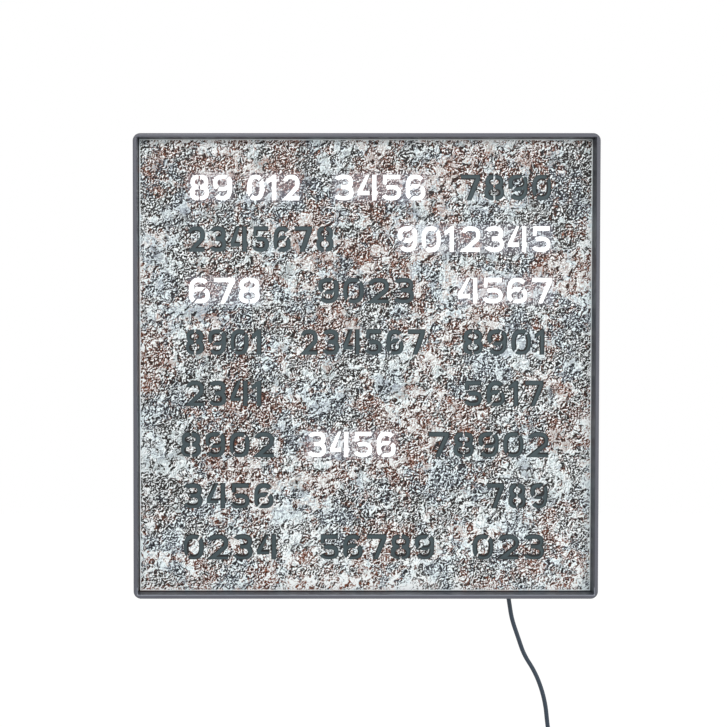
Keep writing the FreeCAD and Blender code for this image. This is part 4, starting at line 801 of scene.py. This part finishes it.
border = rounded_square(FACE_HALF, FACE_CORNER)
cuts = face_outlines(0, STROKE) + face_outlines(1, STROKE - LIT_THINNER)
plate = cut_sheet("face_plate_cut", [border, *cuts], PLATE_BACK, PLATE_FRONT)
plate.data.materials.append(stone_print().material)
plate.data.materials.append(moulded("cut_edge", (0.02, 0.021, 0.023), 0.6).material)

# The print is on the faces that look forward, and the cut edge's finish on all the others

FORWARD = -0.9
normals = np.empty(3 * len(plate.data.polygons))
plate.data.polygons.foreach_get("normal", normals)
plate.data.polygons.foreach_set("material_index", (normals[1::3] > FORWARD).astype("int32"))
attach(plate, "clock")
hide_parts("face_plate")

# The mask's dark ink shows past the narrowed, spread unlit openings as a painted shadow of the cut
# edges
openings = face_outlines(0, STROKE - MASK_SHADOW_THINNER, MASK_SHADOW_SPREAD)
openings += face_outlines(1, STROKE + MASK_WIDER)
mask = cut_sheet("character_mask", [border, *openings], MASK_BACK, MASK_FRONT)
mask.data.materials.append(moulded("mask_ink_and_shadow", (0.012, 0.013, 0.014), 0.7).material)
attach(mask, "clock")

# The cross recesses of the cover's screws, as dark inlays a little proud of the heads: painted
# shade where the recesses are. In millimetres: the depth of the heads' outer faces, the arms'
# length and half width, and how far the inlays stand proud and go in.

SCREW_HEAD_DEPTH = 1.4
CROSS_REACH = 1.35
CROSS_HALF = 0.3
CROSS_PROUD = 0.02
CROSS_SUNK = 0.4

# Each screw's place across and up, in millimetres, and its cross's turn in degrees

SCREW_PLACES = (
    (-193.7, 120, 20), (-193.7, -120, 65), (193.7, 120, 5), (193.7, -120, 40),
    (-120, 193.7, 80), (120, 193.7, 33), (-160, -193.7, 52), (160, -193.7, 12),
)


def cross(x, z, turn):
    """A cross turned by an angle, as one closed line."""
    arm = np.array([
        (CROSS_REACH, -CROSS_HALF), (CROSS_REACH, CROSS_HALF), (CROSS_HALF, CROSS_HALF),
    ])
    points = []
    for quarter in range(4):
        a = math.radians(turn + 90 * quarter)
        points.append(arm @ ((math.cos(a), math.sin(a)), (-math.sin(a), math.cos(a))))
    return np.vstack(points) + (x, z)


shaded_crosses = cut_sheet(
    "screw_recess_shade", [cross(*place) for place in SCREW_PLACES],
    SCREW_HEAD_DEPTH - CROSS_PROUD, SCREW_HEAD_DEPTH + CROSS_SUNK,
)
shaded_crosses.data.materials.append(plated("recess_shade_steel", (0.05, 0.05, 0.052), 0.6).material)
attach(shaded_crosses, "clock")

# Finishes of the CAD nodes that are kept

give(frame_plastic(), "bezel_frame")
give(smoked_sheet(), "diffuser")
give(moulded("cover_plastic", (0.03, 0.031, 0.034), 0.55, 0.0008, 0.00006), "rear_cover")
give(moulded("door_plastic", (0.034, 0.035, 0.038), 0.5, 0.0008, 0.00006), "cell_door")
give(moulded("box_plastic", (0.02, 0.02, 0.022), 0.6), "light_box")
give(moulded("bumper_rubber", (0.075, 0.075, 0.078), 0.75, 0.0004, 0.00003), "wall_bumpers")
give(
    moulded("button_plastic", (0.2, 0.205, 0.22), 0.42),
    "hour_button", "minute_button", "brightness_button",
)
give(
    moulded("part_plastic", (0.016, 0.016, 0.018), 0.45, 0.0003),
    "tact_switches", "power_socket", "ribbon_header", "cell_holder", "controller_chip",
    "hour_plunger", "minute_plunger", "brightness_plunger",
)
give(
    moulded("board_mask", (0.012, 0.085, 0.04), 0.32, 0.002, 0.00002),
    "control_board", *(f"lamp_strip_{n}" for n in range(1, 9)),
)
give(moulded("lamp_gel", (0.8, 0.72, 0.34), 0.3), *(f"leds_{n}" for n in range(1, 9)))
give(
    plated("screw_plate", (0.5, 0.5, 0.51), 0.3), "rear_screws", "strip_screws", "board_screws"
)
give(
    plated("nickel", (0.72, 0.71, 0.69), 0.2),
    "backup_cell", "plug_barrel", "adapter_pins", "clock_crystal", "capacitor",
)
give(moulded("ribbon_sheath", (0.28, 0.29, 0.31), 0.5), "ribbon_cable")
give(moulded("cord_sheath", (0.019, 0.036, 0.058), 0.42, 0.0012, 0.00002, 0.2), "cord")
give(
    moulded("plug_rubber", (0.016, 0.02, 0.026), 0.5, 0.0007, 0.00003),
    "power_plug", "adapter_relief", "coil_tie",
)
give(
    moulded("adapter_plastic", (0.02, 0.021, 0.024), 0.48, 0.0008, 0.00006),
    "adapter_back", "adapter_front", "pin_sleeves",
)


# Light, background and floor


def area_lamp(name, place, target, size, power):
    """A square soft lamp that looks at a point."""
    data = bpy.data.lights.new(name, "AREA")
    data.size = size
    data.energy = power
    lamp = bpy.data.objects.new(name, data)
    bpy.context.collection.objects.link(lamp)
    lamp.location = place
    lamp.rotation_mode = "QUATERNION"
    lamp.rotation_quaternion = (Vector(target) - Vector(place)).to_track_quat("-Z", "Y")


def seen_white(tree, shade):
    """Plain white to the camera, in gloss and through clear pieces; the shade to all else."""
    path = tree.nodes.new("ShaderNodeLightPath")
    seen = path.outputs["Is Camera Ray"]
    for name in ("Is Glossy Ray", "Is Transmission Ray"):
        both = tree.nodes.new("ShaderNodeMath")
        both.operation = "MAXIMUM"
        tree.links.new(seen, both.inputs[0])
        tree.links.new(path.outputs[name], both.inputs[1])
        seen = both.outputs[0]
    strength = tree.nodes.new("ShaderNodeMapRange")
    strength.inputs["To Min"].default_value = shade
    strength.inputs["To Max"].default_value = 1.0
    tree.links.new(seen, strength.inputs["Value"])
    return strength.outputs["Result"]


world = bpy.data.worlds.new("studio")
world.use_nodes = True
bpy.context.scene.world = world
ground = world.node_tree.nodes["Background"]
ground.inputs["Color"].default_value = (1, 1, 1, 1)
SKY_LIGHT = 0.62
world.node_tree.links.new(seen_white(world.node_tree, SKY_LIGHT), ground.inputs["Strength"])

LAMP_TARGET = (0, 0, -0.14)
area_lamp("key", (-0.15, -1.3, 0.75), LAMP_TARGET, 0.5, 9.0)
area_lamp("fill", (1.1, -1.2, -0.1), LAMP_TARGET, 1.0, 5.0)

FLOOR_HALF = 4
FLOOR_LEVEL = -1.1
FLOOR_GREY = (0.86, 0.86, 0.86)
floor_mesh = bpy.data.meshes.new("floor")
floor_mesh.from_pydata(
    [
        (x * FLOOR_HALF, y * FLOOR_HALF, FLOOR_LEVEL)
        for x, y in ((-1, -1), (1, -1), (1, 1), (-1, 1))
    ],
    [],
    [(0, 1, 2, 3)],
)
floor = bpy.data.objects.new("floor", floor_mesh)
bpy.context.collection.objects.link(floor)
floor_paint = Paint("floor_paper", FLOOR_GREY, 0.9)
floor_paint.bump(floor_paint.noise(0.004, 2.0), 0.0001)
floor_paint.set("Emission Color", (1, 1, 1, 1))
floor_seen = seen_white(floor_paint.tree, 0.0)
floor_paint.set("Emission Strength", floor_seen)
floor_paint.set("Base Color", floor_paint.mix(floor_seen, FLOOR_GREY, (0, 0, 0)))
floor.data.materials.append(floor_paint.material)

bpy.context.scene.view_settings.view_transform = "Standard"
